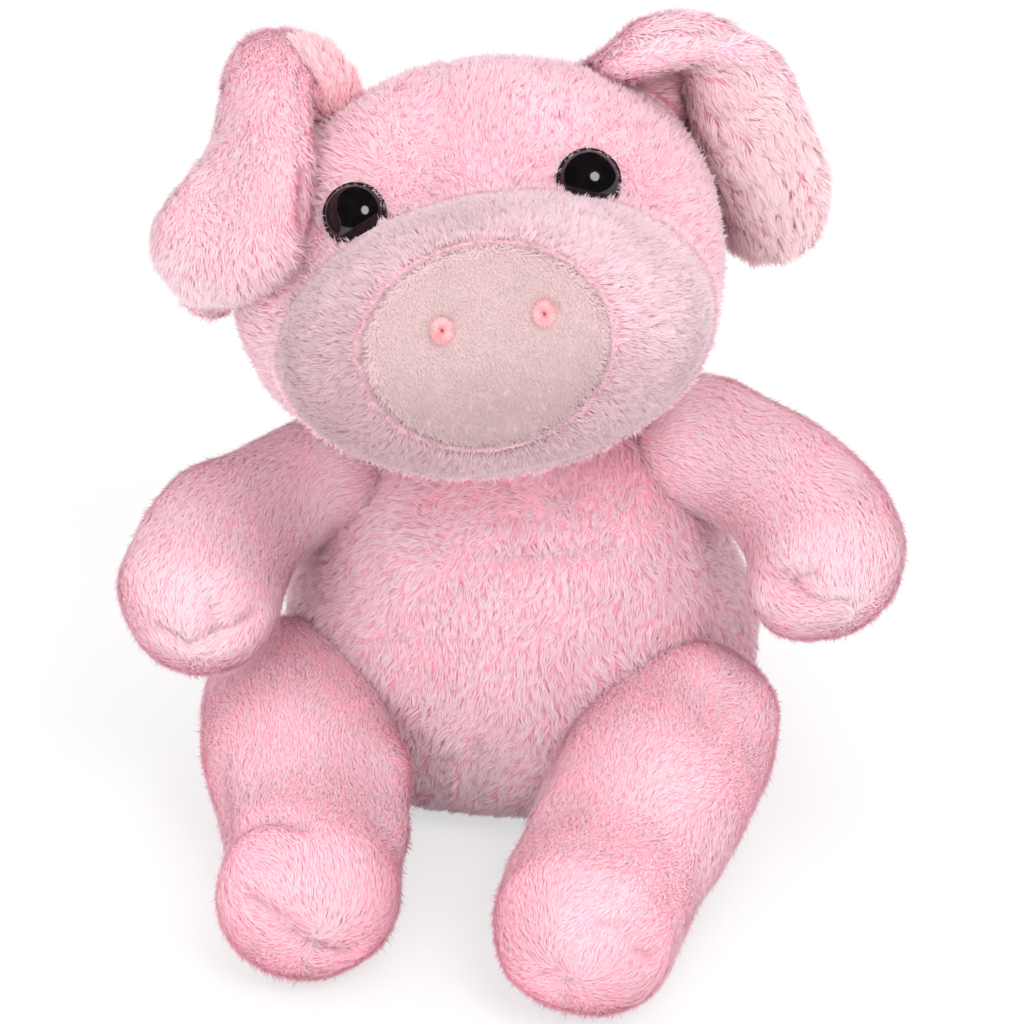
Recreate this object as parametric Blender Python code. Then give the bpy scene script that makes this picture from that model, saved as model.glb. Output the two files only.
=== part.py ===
"""A seated plush pig, about 160 mm tall, as its separate sewn, stuffed and moulded pieces.

Metres and degrees, +Z up. The pig faces -Y and sits on the plane z = 0 with the seat mount at the origin.
Each moving piece is made in the axes of its pivot, an empty that stands on its joint.
"""
import math

import bmesh
import bpy
import numpy as np
from mathutils import Matrix, Vector

# Cloth, stitches and clearances
CLOTH = 0.0018
SEAM_GAP = 0.0003
JOINT_GAP = 0.0008
THREAD_RADIUS = 0.0005
ROOT_OPENING_SHARE = 0.75
FLAT_DEPTH = 0.0005
OVERRUN = 0.060

# Trunk: half sizes at its widest, and the ball that the head turns on
NECK_HEIGHT = 0.067
NECK_SIDE_LEAN = 0.003
NECK_BACK_LEAN = 0.004
NECK_BALL_RADIUS = 0.024
NECK_OPENING_RADIUS = 0.013
TRUNK_HALF_WIDTH = 0.0465
TRUNK_HALF_DEPTH = 0.039
# (height, half width, half depth), from the seat to where the neck ball takes over
TRUNK_RING_SHARES = (
    (0.000, 0.52, 0.52),
    (0.012, 0.66, 0.66),
    (0.060, 0.83, 0.83),
    (0.170, 0.955, 0.96),
    (0.340, 1.00, 1.00),
    (0.520, 0.985, 0.99),
    (0.700, 0.93, 0.93),
    (0.860, 0.85, 0.85),
    (0.980, 0.74, 0.74),
    (1.080, 0.62, 0.64),
)
NECK_BALL_ANGLES = (66, 50, 34, 17)
LEAN_POWER = 1.5
THREAD_ANGLE = 38

# Pellet pouch, low in the trunk
POUCH_RADIUS = 0.021
POUCH_HEIGHT = 0.016

# Head: its middle as seen from the neck pivot, in its own axes, and how it is held
HEAD_FORWARD = 0.0295
HEAD_RISE = 0.0420
HEAD_ROLL = 8.5
HEAD_YAW = 4
HEAD_PITCH = 25
HEAD_HALF_WIDTH = 0.0460
HEAD_HALF_HEIGHT = 0.0393
HEAD_BACK_DEPTH = 0.038
FACE_DEPTH = 0.027
HEAD_BACK_ANGLES = (16, 36, 56, 74)
# (depth, half width, top, bottom) from the widest ring to the muzzle seam
FACE_RING_SHARES = (
    (0.00, 1.000, 1.00, 1.000),
    (0.37, 0.990, 0.955, 1.010),
    (0.67, 0.955, 0.830, 1.015),
    (0.88, 0.915, 0.600, 1.010),
    (1.00, 0.880, 0.330, 0.985),
)

# Muzzle and snout
MUZZLE_LENGTH = 0.023
MUZZLE_ANGLES = (20, 40, 60, 77)
SNOUT_HALF_WIDTH = 0.0218
SNOUT_HALF_HEIGHT = 0.0180
SNOUT_DROP = 0.0132
SNOUT_CROWN = 0.0022
# Where the pad's inner ring lies: its size, and how much of the crown it has
CROWN_RING_SHARES = (0.5, 0.75)
NOSTRIL_RADIUS = 0.0022
NOSTRIL_HEIGHT = 0.0013
NOSTRIL_SPACING = 0.0092
NOSTRIL_RISE = 0.0043
NOSTRIL_SEAT = 0.0004
# (radius, height) of the stitched dot's upper side, from its dimple outwards
NOSTRIL_PROFILE_SHARES = ((0.0, 0.35), (0.3, 0.45), (0.55, 1.0), (0.85, 0.85), (1.0, 0.35))

# Eyes: moulded domes with a shank and a washer behind the cover
EYE_RADIUS = 0.0060
EYE_HEIGHT = 0.0042
EYE_SPACING = 0.0224
EYE_RISE = 0.0132
EYE_SEAT = 0.0005
EYE_DOME_ANGLES = (0, 20, 40, 60, 80)
SHANK_RADIUS = 0.0015
SHANK_LENGTH = 0.0080
WASHER_RADIUS = 0.0050
WASHER_THICKNESS = 0.0010

# Arms, in the axes of the shoulders
SHOULDER_HEIGHT = 0.0685
SHOULDER_SIDE = 0.001
SHOULDER_SPAN = 0.0365
SHOULDER_ROLL = 4
ARM_ROOT_RADIUS = 0.0145
PAW_RADIUS = 0.0165
ARM_REACH_OUT = 0.024
ARM_REACH_FORWARD = 0.030
ARM_DROP = 0.009
ELBOW_OUT_SHARE = 0.85
ELBOW_FORWARD_SHARE = 0.20
ELBOW_DROP_SHARE = 0.30
ARM_SWELL_SHARES = (0.0, 0.20, 0.55, 0.85, 1.0)

# Legs, in the axes of the hips
HIP_YAW = -10
HIP_SPAN = 0.0375
HIP_FORWARD = 0.026
LEG_ROOT_RADIUS = 0.0208
ANKLE_RADIUS = 0.0182
FOOT_RADIUS = 0.0188
LEG_LENGTH = 0.071
FOOT_ROUNDING = 0.014
TOE_IN = {"left": 14, "right": 8}

# Ears: two cloth layers each, their points from the root, as shares of the span
EAR_SPAN = 0.065
EAR_STAND_OFF = 0.0008
EAR_ROOT_BURY = 0.0015
EAR_ROOT_DEPTH = 0.001
# Where the root's two ends lie round the head's widest ring, in degrees from its side
EAR_ROOT_ANGLES = {"left": (62, 36), "right": (58, 28)}
# How far each flops towards and away from the head, turning about its root from first end to last
EAR_FLOP = {"left": (0, 24), "right": (-12, 12)}

# Each row runs across the ear, (outward, forward, up) from the middle of the root; rows run on to the tip
EAR_LEFT_SHARES = (
    ((-0.120, 0.010, 0.150), (-0.060, -0.060, 0.170), (0.010, -0.110, 0.140),
     (0.065, -0.120, 0.090), (0.100, -0.100, 0.010)),
    ((-0.055, 0.060, 0.240), (0.010, 0.010, 0.280), (0.080, -0.020, 0.270),
     (0.140, -0.030, 0.230), (0.180, -0.050, 0.150)),
    ((-0.010, 0.190, 0.170), (0.050, 0.160, 0.190), (0.110, 0.120, 0.180),
     (0.165, 0.070, 0.150), (0.205, 0.020, 0.080)),
    ((0.010, 0.300, 0.010), (0.075, 0.280, 0.020), (0.145, 0.230, 0.010),
     (0.215, 0.160, 0.000), (0.265, 0.080, -0.020)),
    ((0.040, 0.390, -0.150), (0.120, 0.380, -0.160), (0.205, 0.330, -0.150),
     (0.310, 0.240, -0.130), (0.380, 0.150, -0.120)),
    ((0.080, 0.420, -0.310), (0.170, 0.420, -0.350), (0.265, 0.370, -0.370),
     (0.370, 0.270, -0.340), (0.440, 0.170, -0.260)),
    ((0.235, 0.320, -0.380), (0.285, 0.285, -0.440), (0.335, 0.240, -0.470),
     (0.395, 0.170, -0.445), (0.440, 0.100, -0.380)),
)
EAR_RIGHT_SHARES = (
    ((0.050, 0.160, 0.100), (0.120, 0.055, 0.140), (0.185, -0.080, 0.080),
     (0.220, -0.130, -0.040), (0.235, -0.110, -0.180)),
    ((0.220, 0.150, 0.110), (0.290, 0.035, 0.130), (0.335, -0.110, 0.020),
     (0.330, -0.150, -0.130), (0.265, -0.120, -0.320)),
    ((0.400, 0.100, 0.010), (0.450, -0.020, -0.050), (0.420, -0.130, -0.160),
     (0.370, -0.150, -0.280), (0.295, -0.100, -0.460)),
    ((0.490, 0.055, -0.270), (0.490, -0.040, -0.330), (0.445, -0.110, -0.400),
     (0.380, -0.110, -0.470), (0.310, -0.060, -0.530)),
    ((0.490, 0.020, -0.480), (0.475, -0.030, -0.530), (0.430, -0.060, -0.570),
     (0.370, -0.060, -0.580), (0.320, -0.040, -0.570)),
)
EAR_RINGS = 13
EAR_ACROSS = 8
EAR_BACK_LIMIT_SHARE = 0.5

# Tail
TAIL_RADIUS = 0.0030
TAIL_CURL_RADIUS = 0.0060
TAIL_CURL_PITCH = 0.0075
TAIL_TURNS = 1.2
TAIL_STEM = 0.009
TAIL_HEIGHT = 0.030

# Joint ranges, which decide how much room the trunk leaves a limb
ARM_DOWN = -6
ARM_UP = 35
LEG_IN = -6
LEG_OUT = 16

# Facets and other counts
LIMB_ROOT_ANGLES = (158, 136, 113)
LIMB_END_ANGLES = (27, 50, 72)
LIMB_RINGS = 7
AROUND = 22
TRUNK_RINGS = 11
FACE_RINGS = 7
LIMB_AROUND = 14
BALL_AROUND = 18
SMALL_AROUND = 16
THREAD_POINTS = 32
STEM_POINTS = 4
CURL_POINTS = 20
SWEEP_STEPS = 4
SWEEP_FLATNESS = 5
SAMPLES = 200


def smooth(rows, at):
    """Rows of numbers read at shares (0 to 1) of their length, on a Catmull-Rom curve."""
    rows = np.asarray(rows, float)
    padded = np.concatenate([2 * rows[:1] - rows[1:2], rows, 2 * rows[-1:] - rows[-2:-1]])
    place = np.clip(np.asarray(at, float), 0, 1) * (len(rows) - 1)
    index = np.minimum(place.astype(int), len(rows) - 2)
    step = (place - index).reshape((-1,) + (1,) * (rows.ndim - 1))
    before, start, end, after = (padded[index + k] for k in range(4))
    return start + 0.5 * step * (
        end - before
        + step * (2 * before - 5 * start + 4 * end - after + step * (3 * (start - end) + after - before))
    )


def material(name, colour, roughness, metallic=0.0):
    made = bpy.data.materials.new(name)
    made.use_nodes = True
    shader = made.node_tree.nodes["Principled BSDF"]
    shader.inputs["Base Color"].default_value = (*colour, 1.0)
    shader.inputs["Roughness"].default_value = roughness
    shader.inputs["Metallic"].default_value = metallic
    made.diffuse_color = (*colour, 1.0)
    return made


def add_object(name, bm, finish=None, parent=None):
    """An object of the bmesh, its faces pointing out, shaded smooth."""
    bm.normal_update()
    bmesh.ops.recalc_face_normals(bm, faces=bm.faces)
    mesh = bpy.data.meshes.new(name)
    bm.to_mesh(mesh)
    bm.free()
    mesh.shade_smooth()
    mesh.set_sharp_from_angle(angle=math.radians(50))
    if finish:
        mesh.materials.append(finish)
    made = bpy.data.objects.new(name, mesh)
    bpy.context.scene.collection.objects.link(made)
    made.parent = parent
    return made


def add_cutter(name, bm, parent=None):
    made = add_object(name, bm, parent=parent)
    made.hide_render = True
    made.display_type = "WIRE"
    return made


def add_pivot(name, matrix, parent=None):
    made = bpy.data.objects.new(name, None)
    bpy.context.scene.collection.objects.link(made)
    made.parent = parent
    made.matrix_basis = matrix
    return made


def cut(target, cutter, operation="DIFFERENCE", folded=False):
    """A Boolean on the target; a folded target's own layers may touch each other."""
    modifier = target.modifiers.new(cutter.name, "BOOLEAN")
    modifier.operation = operation
    modifier.object = cutter
    modifier.use_self = folded


def skinned(rings, first_pole, last_pole, inset=0.0):
    """A closed skin over rings of points, with a fan at each end, moved inwards by the inset."""
    bm = bmesh.new()
    loops = [[bm.verts.new(point) for point in ring] for ring in rings]
    for ring, following in zip(loops, loops[1:]):
        for k in range(len(ring)):
            j = (k + 1) % len(ring)
            bm.faces.new((ring[k], ring[j], following[j], following[k]))
    for ring, pole in ((loops[0], first_pole), (loops[-1], last_pole)):
        tip = bm.verts.new(pole)
        for k in range(len(ring)):
            bm.faces.new((ring[k], ring[(k + 1) % len(ring)], tip))
    bmesh.ops.recalc_face_normals(bm, faces=bm.faces)
    bm.normal_update()
    for vert in bm.verts:
        vert.co -= vert.normal * inset
    return bm


def turns(count):
    return np.linspace(0, 2 * np.pi, count, endpoint=False)


def ball(radius, outside=False):
    """A UV sphere, or one whose facets all lie outside the radius."""
    bm = bmesh.new()
    grown = radius / math.cos(math.pi / BALL_AROUND) ** 2 if outside else radius
    bmesh.ops.create_uvsphere(bm, u_segments=BALL_AROUND, v_segments=BALL_AROUND // 2, radius=grown)
    return bm


def box(low, high):
    bm = bmesh.new()
    bmesh.ops.create_cube(bm, size=1)
    low, high = Vector(low), Vector(high)
    for vert in bm.verts:
        vert.co = Vector(low[k] + (vert.co[k] + 0.5) * (high[k] - low[k]) for k in range(3))
    return bm


def rod(radius, start, end, across=1.0, segments=SMALL_AROUND):
    """A round bar along Y from start to end; its height is its width times across."""
    bm = bmesh.new()
    bmesh.ops.create_cone(bm, cap_ends=True, segments=segments, radius1=radius, radius2=radius, depth=1)
    for vert in bm.verts:
        x, y, z = vert.co
        vert.co = (x, start + (z + 0.5) * (end - start), y * across)
    return bm


def trunk_form(inset=0.0):
    """The pear of the trunk, leaning to the neck pivot, with the neck ball on top."""
    round_x, round_y = np.cos(turns(AROUND)), np.sin(turns(AROUND))
    rings = []
    for height, width, depth in smooth(TRUNK_RING_SHARES, np.linspace(0, 1, TRUNK_RINGS)):
        lean = max(height, 0.0) ** LEAN_POWER
        rings.append(np.stack([
            NECK_SIDE_LEAN * lean + TRUNK_HALF_WIDTH * width * round_x,
            NECK_BACK_LEAN * lean + TRUNK_HALF_DEPTH * depth * round_y,
            np.full(AROUND, NECK_HEIGHT * height - FLAT_DEPTH),
        ], axis=1))
    for angle in np.radians(NECK_BALL_ANGLES):
        rings.append(np.stack([
            NECK_SIDE_LEAN + NECK_BALL_RADIUS * math.sin(angle) * round_x,
            NECK_BACK_LEAN + NECK_BALL_RADIUS * math.sin(angle) * round_y,
            np.full(AROUND, NECK_HEIGHT + NECK_BALL_RADIUS * math.cos(angle)),
        ], axis=1))
    top = (NECK_SIDE_LEAN, NECK_BACK_LEAN, NECK_HEIGHT + NECK_BALL_RADIUS)
    return skinned(rings, (0, 0, -FLAT_DEPTH), top, inset)


def face_section(depth):
    """Half width, top and bottom of the head's ring at a depth in front of its widest ring."""
    shares = smooth(FACE_RING_SHARES, np.linspace(0, 1, SAMPLES))
    share = np.clip(depth / FACE_DEPTH, 0, 1)
    width, top, bottom = (np.interp(share, shares[:, 0], shares[:, k]) for k in (1, 2, 3))
    return width * HEAD_HALF_WIDTH, top * HEAD_HALF_HEIGHT, -bottom * HEAD_HALF_HEIGHT


def head_section(depth):
    """Half width, half height and middle height of the head's outline at any depth."""
    depth = np.asarray(depth, float)
    width, top, bottom = face_section(depth)
    back = np.sqrt(np.clip(1 - (np.minimum(depth, 0) / HEAD_BACK_DEPTH) ** 2, 0, 1))
    along = np.clip((depth - FACE_DEPTH) / MUZZLE_LENGTH, 0, 1)
    bulge = np.sqrt(1 - along**2)
    width = (width - SNOUT_HALF_WIDTH) * bulge + SNOUT_HALF_WIDTH
    high = ((top - bottom) / 2 - SNOUT_HALF_HEIGHT) * bulge + SNOUT_HALF_HEIGHT
    middle = ((top + bottom) / 2 + SNOUT_DROP) * bulge - SNOUT_DROP
    return width * back, high * back, middle * back


def head_form(inset=0.0):
    """Head, muzzle and snout as one closed skin; rings stand across the way it faces."""
    depths = [-HEAD_BACK_DEPTH * math.cos(math.radians(angle)) for angle in HEAD_BACK_ANGLES]
    depths += [FACE_DEPTH * share for share in smooth(FACE_RING_SHARES, np.linspace(0, 1, FACE_RINGS))[:, 0]]
    depths += [FACE_DEPTH + MUZZLE_LENGTH * math.sin(math.radians(angle)) for angle in MUZZLE_ANGLES]
    depths.append(FACE_DEPTH + MUZZLE_LENGTH)
    rings = []
    for depth in depths:
        width, high, middle = (float(value) for value in head_section(depth))
        rings.append(np.stack([
            width * np.cos(turns(AROUND)),
            np.full(AROUND, -depth),
            middle + high * np.sin(turns(AROUND)),
        ], axis=1))
    pad_middle = rings[-1].mean(axis=0)
    front = pad_middle - np.array([0, SNOUT_CROWN, 0])
    ring_share, height_share = CROWN_RING_SHARES
    rise = np.array([0, SNOUT_CROWN * height_share, 0])
    rings.append(pad_middle + (rings[-1] - pad_middle) * ring_share - rise)
    offset = np.array([0, -HEAD_FORWARD, HEAD_RISE])
    rings = [ring + offset for ring in rings]
    back = offset + np.array([0, HEAD_BACK_DEPTH, 0])
    return skinned(rings, back, front + offset, inset)


def head_point(side, rise):
    """The point and outward direction of the head's face at a side and a rise from its middle."""
    depths = np.linspace(0, FACE_DEPTH, SAMPLES)
    width, high, middle = head_section(depths)
    inside = (side / width) ** 2 + ((rise - middle) / high) ** 2 < 1
    depth = depths[inside].max()

    def field(x, y, z):
        section_width, section_high, section_middle = head_section(-y)
        return (x / section_width) ** 2 + ((z - section_middle) / section_high) ** 2

    step = SEAM_GAP
    at = np.array([side, -depth, rise])
    slope = Vector((
        float(field(*(at + [step, 0, 0])) - field(*(at - [step, 0, 0]))),
        float(field(*(at + [0, step, 0])) - field(*(at - [0, step, 0]))),
        float(field(*(at + [0, 0, step])) - field(*(at - [0, 0, step]))),
    ))
    return Vector(at) + Vector((0, -HEAD_FORWARD, HEAD_RISE)), slope.normalized()


def limb_form(path, radius_at, root_radius, end_length, inset=0.0):
    """A stuffed limb: half a ball at the root, rings along its path, a rounded end."""
    rings = []

    def add_ring(middle, direction, radius):
        side = direction.cross(Vector((0, 0, 1))).normalized()
        up = side.cross(direction)
        rings.append([
            middle + radius * (math.cos(a) * side + math.sin(a) * up) for a in turns(LIMB_AROUND).tolist()
        ])

    start, first = path(0.0)
    for angle in np.radians(LIMB_ROOT_ANGLES).tolist():
        add_ring(start + first * root_radius * math.cos(angle), first, root_radius * math.sin(angle))
    for share in np.linspace(0, 1, LIMB_RINGS).tolist():
        middle, direction = path(share)
        add_ring(middle, direction, radius_at(share))
    end, last = path(1.0)
    for angle in np.radians(LIMB_END_ANGLES).tolist():
        add_ring(end + last * end_length * math.sin(angle), last, radius_at(1.0) * math.cos(angle))
    return skinned(rings, start - first * root_radius, end + last * end_length, inset)


def arm_form(side, inset=0.0):
    """An arm in its pivot's axes: out from the shoulder, then bending forward to the paw."""
    elbow = Vector((
        side * ARM_REACH_OUT * ELBOW_OUT_SHARE,
        -ARM_REACH_FORWARD * ELBOW_FORWARD_SHARE,
        -ARM_DROP * ELBOW_DROP_SHARE,
    ))
    paw = Vector((side * ARM_REACH_OUT, -ARM_REACH_FORWARD, -ARM_DROP))

    def path(share):
        point = 2 * share * (1 - share) * elbow + share**2 * paw
        return point, (2 * (1 - 2 * share) * elbow + 2 * share * paw).normalized()

    def radius_at(share):
        swell = float(smooth(ARM_SWELL_SHARES, [share])[0])
        return ARM_ROOT_RADIUS + (PAW_RADIUS - ARM_ROOT_RADIUS) * swell

    return limb_form(path, radius_at, ARM_ROOT_RADIUS, PAW_RADIUS, inset)


def leg_form(inset=0.0):
    """A leg in its pivot's axes: forward along the floor, narrowest at the ankle."""
    length = LEG_LENGTH - FOOT_ROUNDING

    def radius_at(share):
        return float(smooth((LEG_ROOT_RADIUS, LEG_ROOT_RADIUS, ANKLE_RADIUS, FOOT_RADIUS), [share])[0])

    def path(share):
        return Vector((0, -length * share, radius_at(share) - LEG_ROOT_RADIUS)), Vector((0, -1, 0))

    return limb_form(path, radius_at, LEG_ROOT_RADIUS, FOOT_ROUNDING, inset)


def swept(form, axis, angles):
    """The hull of a limb turned about its pivot at several angles, its near-flat facets joined."""
    bm = bmesh.new()
    for angle in np.radians(np.linspace(min(angles), max(angles), SWEEP_STEPS)).tolist():
        turn = Matrix.Rotation(angle, 3, axis)
        for vert in form.verts:
            bm.verts.new(turn @ vert.co)
    form.free()
    found = bmesh.ops.convex_hull(bm, input=bm.verts)
    loose = set(found["geom_interior"]) | set(found["geom_unused"])
    inner = [item for item in loose if isinstance(item, bmesh.types.BMVert)]
    bmesh.ops.delete(bm, geom=inner, context="VERTS")
    flatness = math.radians(SWEEP_FLATNESS)
    bmesh.ops.dissolve_limit(bm, angle_limit=flatness, verts=bm.verts, edges=bm.edges)
    bmesh.ops.triangulate(bm, faces=bm.faces)
    return bm


def clear_of_head(points, clearance):
    """The points, moved outwards in their own rings until they clear the head's skin."""
    x, y, z = (points[..., k] for k in range(3))
    width, high, middle = head_section(np.clip(-y, -HEAD_BACK_DEPTH * EAR_BACK_LIMIT_SHARE, None))
    reach = np.hypot(x / (width + clearance), (z - middle) / (high + clearance))
    grow = np.where(reach < 1, 1 / np.maximum(reach, EAR_BACK_LIMIT_SHARE), 1.0)
    return np.stack([x * grow, y, middle + (z - middle) * grow], axis=-1)


def ear_sheet(shares, side, root_angles):
    """Points of an ear's middle surface, root row first, in the head's axes about the head's middle."""
    angles = np.radians(np.linspace(*root_angles, len(shares[0])))
    width, high, middle = head_section(EAR_ROOT_DEPTH)
    root = np.stack([
        side * (width - EAR_ROOT_BURY) * np.cos(angles),
        np.full(len(angles), -EAR_ROOT_DEPTH),
        middle + (high - EAR_ROOT_BURY) * np.sin(angles),
    ], axis=1)
    rows = root[len(root) // 2] + np.asarray(shares, float) * [EAR_SPAN * side, -EAR_SPAN, EAR_SPAN]
    rows = clear_of_head(rows, CLOTH + SEAM_GAP / 2 + EAR_STAND_OFF)
    lengthwise = smooth(np.concatenate([[root], rows]), np.linspace(0, 1, EAR_RINGS))
    grid = smooth(lengthwise.transpose(1, 0, 2), np.linspace(0, 1, EAR_ACROSS)).transpose(1, 0, 2)
    grid[2:] = clear_of_head(grid[2:], CLOTH + SEAM_GAP / 2 + EAR_STAND_OFF)
    return grid


def layer(sheet, near, far):
    """A closed skin between two offsets of a sheet of points, square at its edges."""
    along = np.gradient(sheet, axis=0)
    across = np.gradient(sheet, axis=1)
    normal = np.cross(along, across)
    normal /= np.linalg.norm(normal, axis=2, keepdims=True)
    bm = bmesh.new()
    skins = [
        [[bm.verts.new(point) for point in row] for row in sheet + normal * offset] for offset in (near, far)
    ]
    rows, columns = sheet.shape[:2]
    for skin in skins:
        for i in range(rows - 1):
            for j in range(columns - 1):
                bm.faces.new((skin[i][j], skin[i + 1][j], skin[i + 1][j + 1]))
                bm.faces.new((skin[i][j], skin[i + 1][j + 1], skin[i][j + 1]))
    low, high = skins
    for i in range(rows - 1):
        for j in (0, columns - 1):
            bm.faces.new((low[i][j], low[i + 1][j], high[i + 1][j], high[i][j]))
    for j in range(columns - 1):
        for i in (0, rows - 1):
            bm.faces.new((low[i][j], low[i][j + 1], high[i][j + 1], high[i][j]))
    return bm


def moved(bm, matrix):
    bm.transform(matrix)
    return bm


def turned_form(profile, segments=SMALL_AROUND):
    """A closed body of rings about Y, from (radius, place) pairs; the first and last are its poles."""
    rings = [[(radius * math.cos(a), place, radius * math.sin(a)) for a in turns(segments)]
             for radius, place in profile[1:-1]]
    return skinned(rings, (0, profile[0][1], 0), (0, profile[-1][1], 0))


def make_trunk(finishes):
    seat = add_pivot("seat", Matrix.Identity(4))
    cover = add_object("trunk_cover", trunk_form(), finishes["pink_plush"], seat)
    fill = add_object("trunk_fill", trunk_form(CLOTH + SEAM_GAP), finishes["stuffing"], seat)
    floor = add_cutter("floor", box((-OVERRUN, -OVERRUN, -OVERRUN), (OVERRUN, OVERRUN, 0)), seat)
    cut(cover, add_cutter("trunk_inside", trunk_form(CLOTH), seat))
    neck = Matrix.Translation((NECK_SIDE_LEAN, NECK_BACK_LEAN, NECK_HEIGHT))
    upright = Matrix.Rotation(math.pi / 2, 4, "X")
    opening = add_cutter("neck_opening", moved(rod(NECK_OPENING_RADIUS, 0, OVERRUN), neck @ upright), seat)
    cut(cover, opening)
    cut(cover, floor)

    def pouch_form(gap):
        flat = (POUCH_HEIGHT / 2 + gap) / (POUCH_RADIUS + gap)
        middle = (0, NECK_BACK_LEAN, CLOTH + SEAM_GAP - FLAT_DEPTH + POUCH_HEIGHT / 2)
        return moved(ball(POUCH_RADIUS + gap), Matrix.Translation(middle) @ Matrix.Diagonal((1, 1, flat, 1)))

    add_object("pellet_pouch", pouch_form(0), finishes["pouch_cloth"], seat)
    cut(fill, add_cutter("pouch_room", pouch_form(SEAM_GAP), seat))
    tail_socket = moved(ball(TAIL_RADIUS + SEAM_GAP, outside=True), Matrix.Translation(tail_root()))
    tail_hole = add_cutter("tail_socket", tail_socket, seat)
    cut(cover, tail_hole)
    cut(fill, tail_hole)
    return seat, cover, fill


def tail_root():
    """Where the tail leaves the trunk's back."""
    share = TAIL_HEIGHT / NECK_HEIGHT
    heights, _, depths = smooth(TRUNK_RING_SHARES, np.linspace(0, 1, SAMPLES)).T
    return Vector((
        NECK_SIDE_LEAN * share**LEAN_POWER,
        NECK_BACK_LEAN * share**LEAN_POWER + TRUNK_HALF_DEPTH * float(np.interp(share, heights, depths)),
        TAIL_HEIGHT,
    ))


def make_neck_thread(finishes):
    """The closing stitch, a ring of thread that lies on the neck ball under the head's socket."""
    pivot = add_pivot("neck_turn", Matrix.Translation((NECK_SIDE_LEAN, NECK_BACK_LEAN, NECK_HEIGHT)))
    reach = NECK_BALL_RADIUS + SEAM_GAP + THREAD_RADIUS
    ring = reach * math.sin(math.radians(THREAD_ANGLE))
    height = reach * math.cos(math.radians(THREAD_ANGLE))
    add_tube("neck_thread", [(ring * math.cos(a), ring * math.sin(a), height) for a in turns(THREAD_POINTS)],
             THREAD_RADIUS, finishes["thread"], pivot, closed=True)
    return pivot


def add_tube(name, points, radius, finish, parent, closed=False):
    curve = bpy.data.curves.new(name, "CURVE")
    curve.dimensions = "3D"
    curve.bevel_depth = radius
    curve.bevel_resolution = 1
    curve.use_fill_caps = not closed
    spline = curve.splines.new("POLY")
    spline.points.add(len(points) - 1)
    for point, place in zip(spline.points, points):
        point.co = (*place, 1)
    spline.use_cyclic_u = closed
    spline.use_smooth = True
    curve.materials.append(finish)
    made = bpy.data.objects.new(name, curve)
    bpy.context.scene.collection.objects.link(made)
    made.parent = parent
    return made


def facing(point, outward):
    """Axes at a point of the head, with -Y pointing out of it."""
    back = -outward
    side = back.cross(Vector((0, 0, 1))).normalized()
    up = side.cross(back)
    return Matrix.Translation(point) @ Matrix((side, back, up)).transposed().to_4x4()


def make_head(finishes, neck_pivot):
    yaw = Matrix.Rotation(math.radians(HEAD_YAW), 4, "Z")
    roll = Matrix.Rotation(math.radians(-HEAD_ROLL), 4, "Y")
    held = yaw @ roll @ Matrix.Rotation(math.radians(-HEAD_PITCH), 4, "X")
    pivot = add_pivot("neck_nod", held, neck_pivot)
    middle = Vector((0, -HEAD_FORWARD, HEAD_RISE))
    cover = add_object("head_cover", head_form(), finishes["pink_plush"], pivot)
    muzzle = add_object("muzzle_cover", head_form(), finishes["muzzle_plush"], pivot)
    pad = add_object("snout_pad", head_form(), finishes["snout_pile"], pivot)
    fill = add_object("head_fill", head_form(CLOTH + SEAM_GAP), finishes["stuffing"], pivot)
    inside = add_cutter("head_inside", head_form(CLOTH), pivot)
    seam = middle.y - FACE_DEPTH
    wide = OVERRUN * 2
    in_front = add_cutter("in_front_of_seam", box((-wide, seam - wide, -wide), (wide, seam, wide)), pivot)
    behind = add_cutter("behind_seam", box((-wide, seam - SEAM_GAP, -wide), (wide, wide, wide)), pivot)
    socket_radius = NECK_BALL_RADIUS + SEAM_GAP * 2 + THREAD_RADIUS * 2
    socket = add_cutter("neck_socket", ball(socket_radius, outside=True), pivot)
    disc = Matrix.Translation(middle + Vector((0, 0, -SNOUT_DROP)))
    across = SNOUT_HALF_HEIGHT / SNOUT_HALF_WIDTH
    pad_back = -FACE_DEPTH - MUZZLE_LENGTH / 2
    pad_front = pad_back - OVERRUN
    limit = rod(SNOUT_HALF_WIDTH, pad_front, pad_back, across, AROUND)
    room = rod(SNOUT_HALF_WIDTH + SEAM_GAP, pad_front, pad_back, across, AROUND)
    pad_limit = add_cutter("pad_limit", moved(limit, disc), pivot)
    pad_room = add_cutter("pad_room", moved(room, disc), pivot)
    for target, cutters in ((cover, (inside, in_front, socket)), (muzzle, (inside, behind, pad_room)),
                            (fill, (socket,))):
        for cutter in cutters:
            cut(target, cutter)
    cut(pad, pad_limit, "INTERSECT")
    cut(pad, inside)
    for side, name in ((-1, "left"), (1, "right")):
        make_eye(name, side, pivot, (cover, muzzle), fill, finishes)
        make_nostril(name, side, pivot, pad, middle, finishes)
    return pivot


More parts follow.
